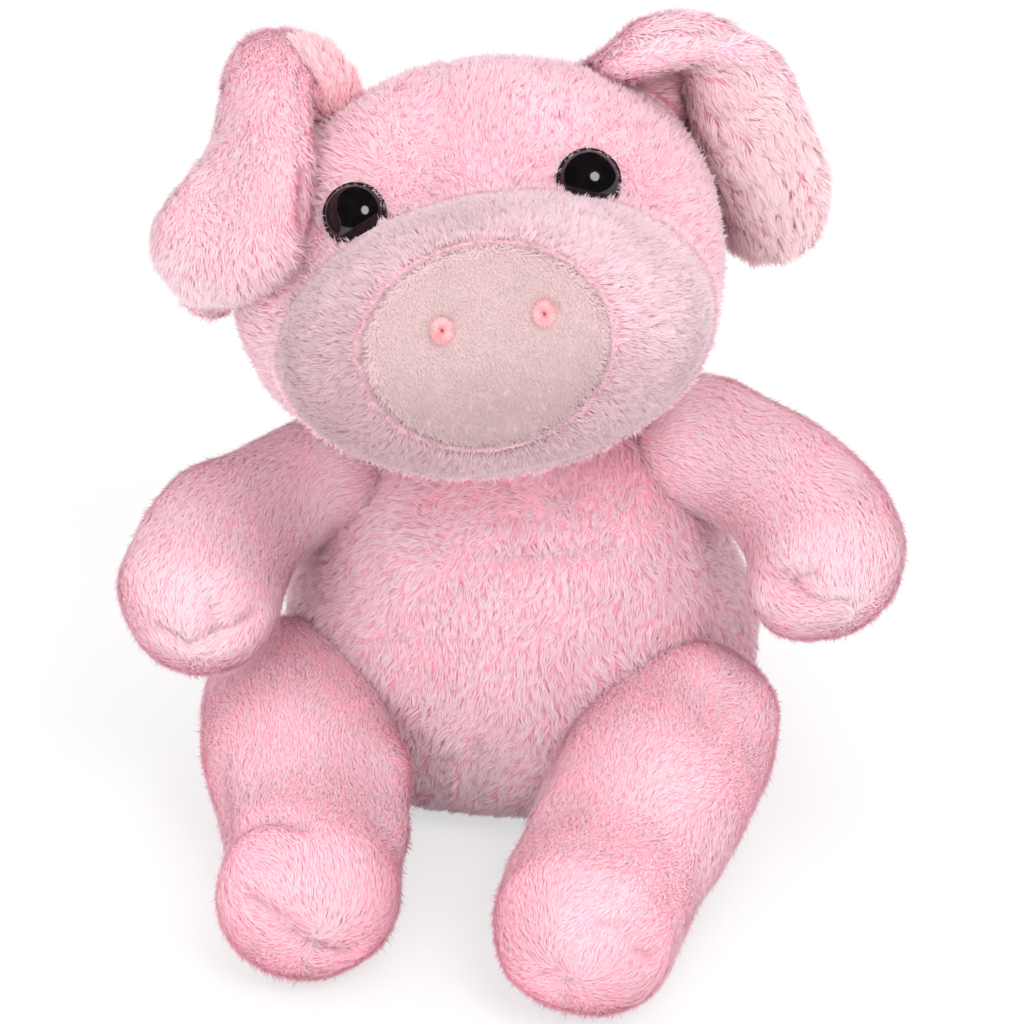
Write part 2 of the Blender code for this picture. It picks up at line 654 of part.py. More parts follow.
def make_eye(name, side, pivot, covers, fill, finishes):
    """A domed eye on its seat in the cover, its shank in the stuffing and the washer that holds it."""
    point, outward = head_point(side * EYE_SPACING, EYE_RISE)
    place = facing(point, outward)
    angles = np.radians(EYE_DOME_ANGLES)
    profile = [(EYE_RADIUS * math.sin(a), -EYE_HEIGHT * math.cos(a)) for a in angles]
    profile += [(EYE_RADIUS, 0), (EYE_RADIUS, EYE_SEAT), (SHANK_RADIUS, EYE_SEAT)]
    profile += [(SHANK_RADIUS, SHANK_LENGTH), (0, SHANK_LENGTH)]
    add_object(f"eye_{name}", moved(turned_form(profile), place), finishes["eye_black"], pivot)
    washer_near = CLOTH + EYE_SEAT + SEAM_GAP
    washer_far = washer_near + WASHER_THICKNESS
    washer = add_object(f"eye_washer_{name}", moved(rod(WASHER_RADIUS, washer_near, washer_far), place),
                        finishes["washer_plastic"], pivot)
    hole = add_cutter(f"shank_hole_{name}", moved(
        rod(SHANK_RADIUS + SEAM_GAP, -EYE_HEIGHT, SHANK_LENGTH + SEAM_GAP), place), pivot)
    seat = add_cutter(f"eye_seat_{name}", moved(
        rod(EYE_RADIUS + SEAM_GAP, -EYE_HEIGHT, EYE_SEAT + SEAM_GAP), place), pivot)
    room = add_cutter(f"washer_room_{name}", moved(
        rod(WASHER_RADIUS + SEAM_GAP, -EYE_HEIGHT, washer_far + SEAM_GAP), place), pivot)
    cut(washer, hole)
    for cover in covers:
        cut(cover, seat)
    cut(covers[0], hole)
    cut(fill, hole)
    cut(fill, room)


def make_nostril(name, side, pivot, pad, middle, finishes):
    """A dimpled button of satin stitch, sunk a little in the snout pad."""
    off_middle = math.hypot(NOSTRIL_SPACING / SNOUT_HALF_WIDTH, NOSTRIL_RISE / SNOUT_HALF_HEIGHT)
    ring_share, height_share = CROWN_RING_SHARES
    crown_share = float(np.interp(off_middle, (0, ring_share, 1), (1, height_share, 0)))
    front = FACE_DEPTH + MUZZLE_LENGTH + SNOUT_CROWN * crown_share
    at = middle + Vector((side * NOSTRIL_SPACING, -front, NOSTRIL_RISE - SNOUT_DROP))
    place = Matrix.Translation(at)
    profile = [
        (radius * NOSTRIL_RADIUS, -height * NOSTRIL_HEIGHT) for radius, height in NOSTRIL_PROFILE_SHARES
    ]
    profile += [(NOSTRIL_RADIUS, NOSTRIL_SEAT), (0, NOSTRIL_SEAT)]
    add_object(f"nostril_{name}", moved(turned_form(profile), place), finishes["satin_stitch"], pivot)
    cut(pad, add_cutter(f"nostril_seat_{name}", moved(
        rod(NOSTRIL_RADIUS + SEAM_GAP, -OVERRUN, NOSTRIL_SEAT + SEAM_GAP), place), pivot))


def make_ear(name, side, shares, head_pivot, finishes):
    """Two cloth layers back to back on one curved sheet, hinged along the root and clear of the head."""
    middle = np.array([0, -HEAD_FORWARD, HEAD_RISE])
    sheet = ear_sheet(shares, side, EAR_ROOT_ANGLES[name]) + middle
    first, last = Vector(sheet[0, 0]), Vector(sheet[0, -1])
    turn = (last - first).to_track_quat("X", "Z").to_matrix().to_4x4()
    place = Matrix.Translation((first + last) / 2) @ turn
    pivot = add_pivot(f"ear_{name}_flop", place, head_pivot)
    to_pivot = np.array(place.inverted())
    sheet = sheet @ to_pivot[:3, :3].T + to_pivot[:3, 3]
    rooms = []
    for limit in EAR_FLOP[name]:
        room = moved(head_form(-SEAM_GAP), Matrix.Rotation(math.radians(-limit), 4, "X") @ place.inverted())
        rooms.append(add_cutter(f"ear_{name}_head_room", room, pivot))
    for kind, near, far, finish in (
        ("outer", SEAM_GAP / 2, SEAM_GAP / 2 + CLOTH, "pink_plush"),
        ("lining", -SEAM_GAP / 2, -SEAM_GAP / 2 - CLOTH, "ear_lining"),
    ):
        sewn = layer(sheet, near * side, far * side)
        ear = add_object(f"ear_{kind}_{name}", sewn, finishes[finish], pivot)
        for room in rooms:
            cut(ear, room, folded=kind == "outer")


def make_arm(name, side, shoulders, trunk_parts, finishes):
    pivot = add_pivot(f"arm_{name}_swing", Matrix.Translation((side * SHOULDER_SPAN, 0, 0)), shoulders)
    form = arm_form(side)
    sweep = swept(arm_form(side, -JOINT_GAP), "X", (-ARM_DOWN, -ARM_UP))
    make_limb("arm", name, pivot, form, arm_form(side, CLOTH), arm_form(side, CLOTH + SEAM_GAP),
              sweep, ARM_ROOT_RADIUS, trunk_parts, finishes, Vector((side, 0, 0)))
    return pivot


def make_leg(name, side, hips, trunk_parts, finishes):
    place = Matrix.Translation((side * HIP_SPAN, -HIP_FORWARD, LEG_ROOT_RADIUS - FLAT_DEPTH))
    toe = math.radians(side * TOE_IN[name])
    pivot = add_pivot(f"leg_{name}_splay", place @ Matrix.Rotation(-toe, 4, "Z"), hips)
    sweep = swept(leg_form(-JOINT_GAP), "Z", (side * LEG_IN, side * LEG_OUT))
    outward = Matrix.Rotation(toe, 3, "Z") @ Vector((side * HIP_SPAN, -HIP_FORWARD, 0))
    cover, fill = make_limb("leg", name, pivot, leg_form(), leg_form(CLOTH), leg_form(CLOTH + SEAM_GAP),
                            sweep, LEG_ROOT_RADIUS, trunk_parts, finishes, outward.normalized())
    below = FLAT_DEPTH - LEG_ROOT_RADIUS
    wide = OVERRUN * 2
    floor = box((-wide, -wide, below - wide), (wide, wide, below))
    cut(cover, add_cutter(f"leg_{name}_floor", floor, pivot))
    return pivot


def make_limb(kind, name, pivot, form, inside, fill_form, sweep, root_radius, trunk_parts, finishes,
              outward):
    """The limb's cover, open at its root seam, its stuffing, and the room for it in the trunk."""
    cover = add_object(f"{kind}_cover_{name}", form, finishes["pink_plush"], pivot)
    fill = add_object(f"{kind}_fill_{name}", fill_form, finishes["stuffing"], pivot)
    cut(cover, add_cutter(f"{kind}_inside_{name}", inside, pivot))
    opening = Matrix.Translation(-outward * root_radius * ROOT_OPENING_SHARE)
    turn = outward.to_track_quat("-Y", "Z").to_matrix().to_4x4()
    mouth = moved(rod(root_radius, 0, OVERRUN), opening @ turn)
    cut(cover, add_cutter(f"{kind}_opening_{name}", mouth, pivot))
    room = add_cutter(f"{kind}_room_{name}", sweep, pivot)
    for part in trunk_parts:
        cut(part, room)
    return cover, fill


def make_tail(finishes, seat):
    """A short stem and a bit over one curl of stuffed plush cord."""
    pivot = add_pivot("tail_wag", Matrix.Translation(tail_root()), seat)
    stem = [(0, share * TAIL_STEM, 0) for share in np.linspace(0, 1, STEM_POINTS)]
    curl = []
    for share in np.linspace(0, 1, CURL_POINTS)[1:]:
        angle = 2 * math.pi * TAIL_TURNS * share
        curl.append((TAIL_CURL_RADIUS * math.sin(angle), TAIL_STEM + TAIL_CURL_PITCH * TAIL_TURNS * share,
                     TAIL_CURL_RADIUS * (1 - math.cos(angle))))
    add_tube("tail", stem + curl, TAIL_RADIUS, finishes["pink_plush"], pivot)
    return pivot


def main():
    for old in list(bpy.data.objects):
        bpy.data.objects.remove(old)
    finishes = {
        "pink_plush": material("pink_plush", (0.86, 0.47, 0.56), 0.9),
        "muzzle_plush": material("muzzle_plush", (0.78, 0.56, 0.60), 0.9),
        "snout_pile": material("snout_pile", (0.86, 0.66, 0.64), 0.95),
        "ear_lining": material("ear_lining", (0.84, 0.54, 0.56), 0.9),
        "satin_stitch": material("satin_stitch", (0.86, 0.38, 0.38), 0.5),
        "eye_black": material("eye_black", (0.012, 0.009, 0.010), 0.08),
        "washer_plastic": material("washer_plastic", (0.75, 0.75, 0.72), 0.4),
        "stuffing": material("stuffing", (0.92, 0.92, 0.90), 1.0),
        "pouch_cloth": material("pouch_cloth", (0.80, 0.78, 0.72), 0.9),
        "thread": material("thread", (0.86, 0.50, 0.58), 0.6),
    }
    seat, trunk_cover, trunk_fill = make_trunk(finishes)
    trunk_parts = (trunk_cover, trunk_fill)
    neck = make_neck_thread(finishes)
    head = make_head(finishes, neck)
    make_ear("left", -1, EAR_LEFT_SHARES, head, finishes)
    make_ear("right", 1, EAR_RIGHT_SHARES, head, finishes)
    shoulders = add_pivot("shoulders", Matrix.Translation((SHOULDER_SIDE, 0, SHOULDER_HEIGHT))
                          @ Matrix.Rotation(math.radians(-SHOULDER_ROLL), 4, "Y"), seat)
    hips = add_pivot("hips", Matrix.Rotation(math.radians(HIP_YAW), 4, "Z"), seat)
    for side, name in ((-1, "left"), (1, "right")):
        make_arm(name, side, shoulders, trunk_parts, finishes)
        make_leg(name, side, hips, trunk_parts, finishes)
    make_tail(finishes, seat)


main()
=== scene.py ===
"""The dressed plush pig: sewn skins with a combed pile, glossy eyes and stitched nostrils, on its frame."""

import logging
import math
from dataclasses import dataclass, field
from enum import Enum
from typing import ClassVar, Sequence

import bpy
import numpy as np
from mathutils import Matrix, Vector


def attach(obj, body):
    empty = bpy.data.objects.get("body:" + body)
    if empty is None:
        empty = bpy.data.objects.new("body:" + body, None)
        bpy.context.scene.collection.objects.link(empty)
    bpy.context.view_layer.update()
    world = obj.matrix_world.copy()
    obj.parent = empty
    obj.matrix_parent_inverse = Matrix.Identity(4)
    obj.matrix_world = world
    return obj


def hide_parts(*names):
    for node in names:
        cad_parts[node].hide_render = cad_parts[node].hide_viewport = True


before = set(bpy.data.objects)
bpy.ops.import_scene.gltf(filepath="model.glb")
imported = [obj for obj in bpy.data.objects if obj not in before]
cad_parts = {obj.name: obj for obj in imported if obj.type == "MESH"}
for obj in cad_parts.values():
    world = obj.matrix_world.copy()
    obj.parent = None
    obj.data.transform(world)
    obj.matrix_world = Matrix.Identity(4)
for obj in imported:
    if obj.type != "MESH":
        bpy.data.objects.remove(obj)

Array = np.ndarray
Colour = tuple[float, float, float]
Place = tuple[float, float, float]
LOG = logging.getLogger("plush_pig")
MM = 0.001
TINY = 1e-12
BAKE_MAP = "OFBake"
TONE_COLUMNS = 32
STRAND_HALF = 0.42
STRAND_HEIGHTS = (0.02, 0.48, 0.48, 0.98)
HASH_PRIMES = (73856093, 19349663, 83492791)
FLOOR_CLEARANCE = 0.2 * MM
ROOT_DEPTH = 0.1 * MM
WAVES = 7
NO_QUADS = np.zeros((0, 4), int)
NO_TRIS = np.zeros((0, 3), int)


class Option(Enum):
    """A named option whose name also stands inside the pieces' names."""

    @property
    def word(self) -> str:
        """The option's name inside the pieces' names."""
        return self.name.lower()


class Side(Option):
    """The pig's sides as seen from in front."""

    LEFT = -1
    RIGHT = 1


class Layer(Option):
    """An ear's two layers, by the side of its sheet that each lies on."""

    OUTER = 1
    LINING = -1


# Shared shape functions


def smooth(rows: Array, at: Array) -> Array:
    """Reads rows of numbers at shares of their length, on a Catmull-Rom curve.

    Args:
        rows: The numbers, first axis along the curve.
        at: Shares from 0 to 1.

    Returns:
        One row for each share.
    """
    rows = np.asarray(rows, float)
    padded = np.concatenate([2 * rows[:1] - rows[1:2], rows, 2 * rows[-1:] - rows[-2:-1]])
    place = np.clip(np.asarray(at, float), 0, 1) * (len(rows) - 1)
    index = np.minimum(place.astype(int), len(rows) - 2)
    step = (place - index).reshape((-1,) + (1,) * (rows.ndim - 1))
    before, start, end, after = (padded[index + k] for k in range(4))
    return start + 0.5 * step * (
        end - before
        + step * (2 * before - 5 * start + 4 * end - after + step * (3 * (start - end) + after - before))
    )


def turns(count: int) -> Array:
    """Angles evenly round a circle."""
    return np.linspace(0, 2 * np.pi, count, endpoint=False)


def unit(vectors: Array) -> Array:
    """Vectors divided by their lengths."""
    return vectors / np.maximum(np.linalg.norm(vectors, axis=-1, keepdims=True), TINY)


def step_up(values: Array, low: float, high: float) -> Array:
    """A soft step: 0 below low, 1 above high, and 3t2 - 2t3 between them."""
    share = np.clip((values - low) / (high - low), 0, 1)
    return share * share * (3 - 2 * share)


def bump(values: Array, middle: float, width: float) -> Array:
    """A bell of height 1: e to the minus square of the distance over the width."""
    return np.exp(-(((values - middle) / width) ** 2))


def ripple(points: Array, wavelength: float, seed: int, channels: int = 1) -> Array:
    """Soft noise: a sum of sines along seeded random directions, over the root of their number.

    Args:
        points: Places, last axis of 3.
        wavelength: The usual distance between crests.
        seed: Which noise.
        channels: How many separate noises.

    Returns:
        The points' shape with a last axis of channels, mostly from -1 to 1.
    """
    rng = np.random.default_rng(seed)
    heading = unit(rng.normal(size=(3, WAVES * channels)).T).T
    pace = 2 * np.pi / wavelength * rng.uniform(0.55, 1.6, WAVES * channels)
    phase = rng.uniform(0, 2 * np.pi, WAVES * channels)
    waves = np.sin(points @ (heading * pace) + phase)
    return waves.reshape(points.shape[:-1] + (channels, WAVES)).sum(-1) / math.sqrt(WAVES)


def mottled(points: Array, level: float, spread: float, wavelength: float, seed: int) -> Array:
    """A level at every point that soft noise raises and lowers by about the spread."""
    return level + spread * ripple(points, wavelength, seed)[..., 0]


def swayed(way: Array, points: Array, spread: float, wavelength: float, seed: int) -> Array:
    """A direction at every point that soft noise bends by about the spread."""
    return way + spread * ripple(points, wavelength, seed, 3)


def turn_about(axis: str, degrees: float) -> Array:
    """A turn about X, Y or Z as a 4 x 4 matrix."""
    return np.array(Matrix.Rotation(math.radians(degrees), 4, axis))


def shift(x: float, y: float, z: float) -> Array:
    """A move as a 4 x 4 matrix."""
    return np.array(Matrix.Translation((x, y, z)))


def carried(points: Array, matrix: Array) -> Array:
    """Points taken through a 4 x 4 matrix."""
    return points @ matrix[:3, :3].T + matrix[:3, 3]


def grid_points(x: Array, y: Array, z: Array) -> Array:
    """Places from their three coordinates, each spread over the whole grid."""
    return np.stack(np.broadcast_arrays(x, y, z), axis=-1)


def evenly(line: Array, count: int) -> Array:
    """Rows moved to even steps along the line that their first three columns draw.

    Args:
        line: One row for each point: its place, and any numbers that go with it.
        count: How many rows to give back.

    Returns:
        The rows at the even steps.
    """
    reach = np.append(0, np.cumsum(np.linalg.norm(np.diff(line[:, :3], axis=0), axis=1)))
    want = np.linspace(0, reach[-1], count)
    return np.stack([np.interp(want, reach, column) for column in line.T], axis=1)


def softened(line: Array, window: int) -> Array:
    """A line whose corners round off, because each point becomes the mean of those round it.

    Args:
        line: The points.
        window: How many points are averaged, an odd number.

    Returns:
        As many points as before.
    """
    padded = np.pad(line, ((window // 2, window // 2), (0, 0)), "edge")
    kernel = np.ones(window) / window
    return np.stack([np.convolve(column, kernel, "valid") for column in padded.T], axis=1)


def write_mesh(name: str, points: Array, quads: Array, tris: Array) -> bpy.types.Object:
    """Puts points and faces into a new mesh object.

    Args:
        name: The piece's name.
        points: Vertex places.
        quads: Four indices to a face; may be empty.
        tris: Three indices to a face; may be empty.

    Returns:
        The linked object, shaded smooth.
    """
    mesh = bpy.data.meshes.new(name)
    mesh.vertices.add(len(points))
    mesh.vertices.foreach_set("co", np.ascontiguousarray(points, np.float32).ravel())
    corners = np.concatenate([quads.ravel(), tris.ravel()]).astype(np.int32)
    starts = np.concatenate([np.arange(len(quads)) * 4, 4 * len(quads) + np.arange(len(tris)) * 3])
    mesh.loops.add(len(corners))
    mesh.loops.foreach_set("vertex_index", corners)
    mesh.polygons.add(len(starts))
    mesh.polygons.foreach_set("loop_start", starts.astype(np.int32))
    mesh.update(calc_edges=True)
    mesh.shade_smooth()
    made = bpy.data.objects.new(name, mesh)
    bpy.context.scene.collection.objects.link(made)
    return made


# Finishes


@dataclass(frozen=True)
class Finish:
    """A node-built material, with what all of them share."""

    name: str

    def start(self) -> tuple[bpy.types.Material, bpy.types.NodeTree, bpy.types.Node]:
        """Makes the material before it has a look of its own.

        Returns:
            The material, its tree and its Principled shader.
        """
        made = bpy.data.materials.new(self.name)
        made.use_nodes = True
        return made, made.node_tree, made.node_tree.nodes["Principled BSDF"]

    @staticmethod
    def noise(tree: bpy.types.NodeTree, scale: float, detail: float = 3.0) -> bpy.types.Node:
        """Adds a noise texture on object coordinates.

        Args:
            tree: The material's tree.
            scale: How fine the noise is, per metre.
            detail: How many finer noises lie in it.

        Returns:
            The texture node.
        """
        place = tree.nodes.new("ShaderNodeTexCoord")
        made = tree.nodes.new("ShaderNodeTexNoise")
        made.inputs["Scale"].default_value = scale
        made.inputs["Detail"].default_value = detail
        tree.links.new(place.outputs["Object"], made.inputs["Vector"])
        return made

    @staticmethod
    def ramp(tree: bpy.types.NodeTree, stops: Sequence[tuple[float, Colour]]) -> bpy.types.Node:
        """Adds a colour ramp.

        Args:
            tree: The material's tree.
            stops: Each stop's place from 0 to 1, and its colour.

        Returns:
            The ramp node.
        """
        made = tree.nodes.new("ShaderNodeValToRGB")
        while len(made.color_ramp.elements) < len(stops):
            made.color_ramp.elements.new(1.0)
        for element, (place, colour) in zip(made.color_ramp.elements, stops):
            element.position = place
            element.color = (*colour, 1.0)
        return made

    @staticmethod
    def colour_mix(tree: bpy.types.NodeTree, blend: str) -> tuple[bpy.types.Node, list[bpy.types.NodeSocket]]:
        """Adds a mix of two colours.

        Args:
            tree: The material's tree.
            blend: The way they mix.

        Returns:
            The node, and its first colour, second colour and result.
        """
        made = tree.nodes.new("ShaderNodeMix")
        made.data_type = "RGBA"
        made.blend_type = blend
        return made, [socket for socket in (*made.inputs, *made.outputs) if socket.type == "RGBA"]


@dataclass(frozen=True)
class PileFinish(Finish):
    """Plush fibres: deep at the root, pale at the tip; a strand's tone shifts it between two such ramps."""

    deep: tuple[Colour, ...]
    pale: tuple[Colour, ...]
    blush: Colour = (1.0, 0.80, 0.86)
    glow: float = 0.36
    sheen: float = 0.5
    sheen_roughness: float = 0.5
    roughness: float = 0.8
    gloss: float = 0.25
    ends: tuple[float, float] = (0.05, 0.95)

    def build(self) -> bpy.types.Material:
        """Builds the fibre material, which reads only the strand's own map.

        Returns:
            The material.
        """
        made, tree, shader = self.start()
        strand = tree.nodes.new("ShaderNodeUVMap")
        strand.uv_map = BAKE_MAP
        split = tree.nodes.new("ShaderNodeSeparateXYZ")
        tree.links.new(strand.outputs["UV"], split.inputs["Vector"])
        mix, (first, second, colour) = self.colour_mix(tree, "MIX")
        tree.links.new(split.outputs["X"], mix.inputs["Factor"])
        for colours, socket in ((self.deep, first), (self.pale, second)):
            places = np.linspace(*self.ends, len(colours)).tolist()
            ramp = self.ramp(tree, list(zip(places, colours)))
            tree.links.new(split.outputs["Y"], ramp.inputs["Fac"])
            tree.links.new(ramp.outputs["Color"], socket)
        tree.links.new(colour, shader.inputs["Base Color"])
        shader.inputs["Roughness"].default_value = self.roughness
        shader.inputs["Specular IOR Level"].default_value = self.gloss
        shader.inputs["Sheen Weight"].default_value = self.sheen
        shader.inputs["Sheen Roughness"].default_value = self.sheen_roughness
        through = self.lit_through(tree, colour)
        both = tree.nodes.new("ShaderNodeMixShader")
        both.inputs["Fac"].default_value = self.glow
        tree.links.new(shader.outputs["BSDF"], both.inputs[1])
        tree.links.new(through.outputs["BSDF"], both.inputs[2])
        tree.links.new(both.outputs["Shader"], tree.nodes["Material Output"].inputs["Surface"])
        return made

    def lit_through(self, tree: bpy.types.NodeTree, colour: bpy.types.NodeSocket) -> bpy.types.Node:
        """Adds the part of the light that comes through a fibre, which the blush makes pinker.

        Args:
            tree: The material's tree.
            colour: The fibre's colour.

        Returns:
            The translucent shader node.
        """
        through = tree.nodes.new("ShaderNodeBsdfTranslucent")
        blushed, (near, far, result) = self.colour_mix(tree, "MULTIPLY")
        blushed.inputs["Factor"].default_value = 1.0
        far.default_value = (*self.blush, 1.0)
        tree.links.new(colour, near)
        tree.links.new(result, through.inputs["Color"])
        return through


@dataclass(frozen=True)
class ClothFinish(Finish):
    """Thread or knitted backing: two close colours in a fine noise, with a small bump."""

    dark: Colour
    light: Colour
    grain: float = 900.0
    roughness: float = 0.9
    spread: tuple[float, float] = (0.3, 0.7)
    bump_strength: float = 0.4
    bump_height: float = 0.2 * MM
    sheen: float = 0.05

    def build(self) -> bpy.types.Material:
        """Builds the cloth material.

        Returns:
            The material.
        """
        made, tree, shader = self.start()
        noise = self.noise(tree, self.grain)
        ramp = self.ramp(tree, list(zip(self.spread, (self.dark, self.light))))
        tree.links.new(noise.outputs["Fac"], ramp.inputs["Fac"])
        tree.links.new(ramp.outputs["Color"], shader.inputs["Base Color"])
        lift = tree.nodes.new("ShaderNodeBump")
        lift.inputs["Strength"].default_value = self.bump_strength
        lift.inputs["Distance"].default_value = self.bump_height
        tree.links.new(noise.outputs["Fac"], lift.inputs["Height"])
        tree.links.new(lift.outputs["Normal"], shader.inputs["Normal"])
        shader.inputs["Roughness"].default_value = self.roughness
        shader.inputs["Sheen Weight"].default_value = self.sheen
        return made


@dataclass(frozen=True)
class GlossFinish(Finish):
    """Polished moulded plastic with faint scuffs in its roughness."""

    dark: Colour
    light: Colour
    roughness: tuple[float, float] = (0.05, 0.12)
    grain: float = 420.0
    detail: float = 5.0
    spread: tuple[float, float] = (0.35, 0.75)
    gloss: float = 0.6

    def build(self) -> bpy.types.Material:
        """Builds the moulded material.

        Returns:
            The material.
        """
        made, tree, shader = self.start()
        noise = self.noise(tree, self.grain, self.detail)
        ramp = self.ramp(tree, list(zip(self.spread, (self.dark, self.light))))
        tree.links.new(noise.outputs["Fac"], ramp.inputs["Fac"])
        tree.links.new(ramp.outputs["Color"], shader.inputs["Base Color"])
        scuff = tree.nodes.new("ShaderNodeMapRange")
        for end, value in zip(("To Min", "To Max"), self.roughness):
            scuff.inputs[end].default_value = value
        tree.links.new(noise.outputs["Fac"], scuff.inputs["Value"])
        tree.links.new(scuff.outputs["Result"], shader.inputs["Roughness"])
        shader.inputs["Specular IOR Level"].default_value = self.gloss
        return made


@dataclass
class Palette:
    """Every finish on the pig, built once."""

    made: dict[str, bpy.types.Material] = field(default_factory=dict)

    def build(self) -> None:
        """Builds the materials, named for the slots of the record."""
        finishes = (
            PileFinish(
                "pink_plush",
                deep=((0.92, 0.43, 0.55), (0.94, 0.58, 0.67), (0.96, 0.68, 0.76)),
                pale=((0.95, 0.66, 0.74), (0.97, 0.81, 0.86), (0.98, 0.94, 0.955)),
            ),
            PileFinish(
                "muzzle_plush",
                deep=((0.58, 0.38, 0.42), (0.68, 0.49, 0.53), (0.76, 0.58, 0.62)),
                pale=((0.95, 0.61, 0.69), (0.97, 0.77, 0.83), (0.99, 0.92, 0.95)),
            ),
            PileFinish(
                "snout_pile",
                deep=((0.59, 0.44, 0.45), (0.61, 0.46, 0.475), (0.64, 0.49, 0.505)),
                pale=((0.90, 0.69, 0.69), (0.93, 0.73, 0.735), (0.96, 0.785, 0.79)),
                blush=(1.0, 0.9, 0.9),
            ),
            PileFinish(
                "ear_lining",
                deep=((0.95, 0.42, 0.50), (0.97, 0.58, 0.64), (0.98, 0.68, 0.72)),
                pale=((0.98, 0.62, 0.66), (0.99, 0.79, 0.81), (0.99, 0.93, 0.93)),
            ),
            ClothFinish("plush_backing", (0.92, 0.42, 0.54), (0.95, 0.54, 0.64)),
            ClothFinish("muzzle_backing", (0.84, 0.50, 0.57), (0.90, 0.60, 0.66)),
            # Painted shade: the pad's backing is darker and greyer than its pile, standing in for the shade
            # among the pile's fibres.
            ClothFinish("snout_backing", (0.56, 0.41, 0.41), (0.62, 0.46, 0.46)),
            ClothFinish("satin_stitch", (0.74, 0.24, 0.27), (0.90, 0.42, 0.44), grain=500.0, roughness=0.22),
            ClothFinish("thread", (0.74, 0.34, 0.42), (0.88, 0.52, 0.60), grain=1500.0, roughness=0.6),
            GlossFinish("eye_black", (0.002, 0.0015, 0.002), (0.006, 0.004, 0.006)),
            GlossFinish("eye_rim", (0.004, 0.003, 0.003), (0.010, 0.007, 0.007), roughness=(0.55, 0.70)),
            GlossFinish("washer_plastic", (0.70, 0.70, 0.67), (0.80, 0.80, 0.77), roughness=(0.35, 0.5)),
        )
        for finish in finishes:
            self.made[finish.name] = finish.build()

    def dress(self, piece: bpy.types.Object, *names: str) -> None:
        """Gives a piece its finishes.

        Args:
            piece: The mesh object.
            names: The finishes, in slot order.
        """
        piece.data.materials.clear()
        for name in names:
            piece.data.materials.append(self.made[name])


# Skins and pile


@dataclass(frozen=True)
class Fold:
    """A stitched or pressed line on the plush.

    Attributes:
        stops: The line's points, in millimetres.
        width: How far it reaches to each side, in millimetres.
        depth: How far it presses the skin in, in millimetres; below 0 it swells.
        parting: How much shorter the pile is on it.
        tone: How much paler the pile is on it.
        fan: How strongly the pile is combed away from it.
        fan_reach: How far that reaches, in widths.
    """

    stops: tuple[Place, ...]
    width: float = 2.2
    depth: float = 1.3
    parting: float = 0.25
    tone: float = -0.08
    fan: float = 0.0
    fan_reach: float = 3.5

    def nearest(self, points: Array) -> tuple[Array, Array]:
        """Finds the nearest point of the line, stretch by stretch.

        Args:
            points: The places to measure from.

        Returns:
            Each point's distance to the line, and the way from the line to the point.
        """
        stops = np.array(self.stops) * MM
        gap = np.full(points.shape[:-1], np.inf)
        away = np.zeros(points.shape)
        for start, end in zip(stops[:-1], stops[1:]):
            run = end - start
            share = np.clip((points - start) @ run / (run @ run), 0, 1)
            step = points - start - share[..., None] * run
            reach = np.linalg.norm(step, axis=-1)
            closer = reach < gap
            gap = np.where(closer, reach, gap)
            away = np.where(closer[..., None], step, away)
        return gap, unit(away)

    def near(self, points: Array) -> Array:
        """A bell of each point's distance to the line over the width."""
        return bump(self.nearest(points)[0], 0, self.width * MM)


def swelling(stops: tuple[Place, ...], width: float, depth: float) -> Fold:
    """A broad press or, with a depth below 0, a swelling that leaves the pile as it is."""
    return Fold(stops, width=width, depth=depth, parting=0.0, tone=0.0)


def folded_depth(folds: Sequence[Fold], points: Array) -> Array:
    """How far all folds together press the points in."""
    return sum((fold.depth * MM * fold.near(points) for fold in folds), np.zeros(points.shape[:-1]))


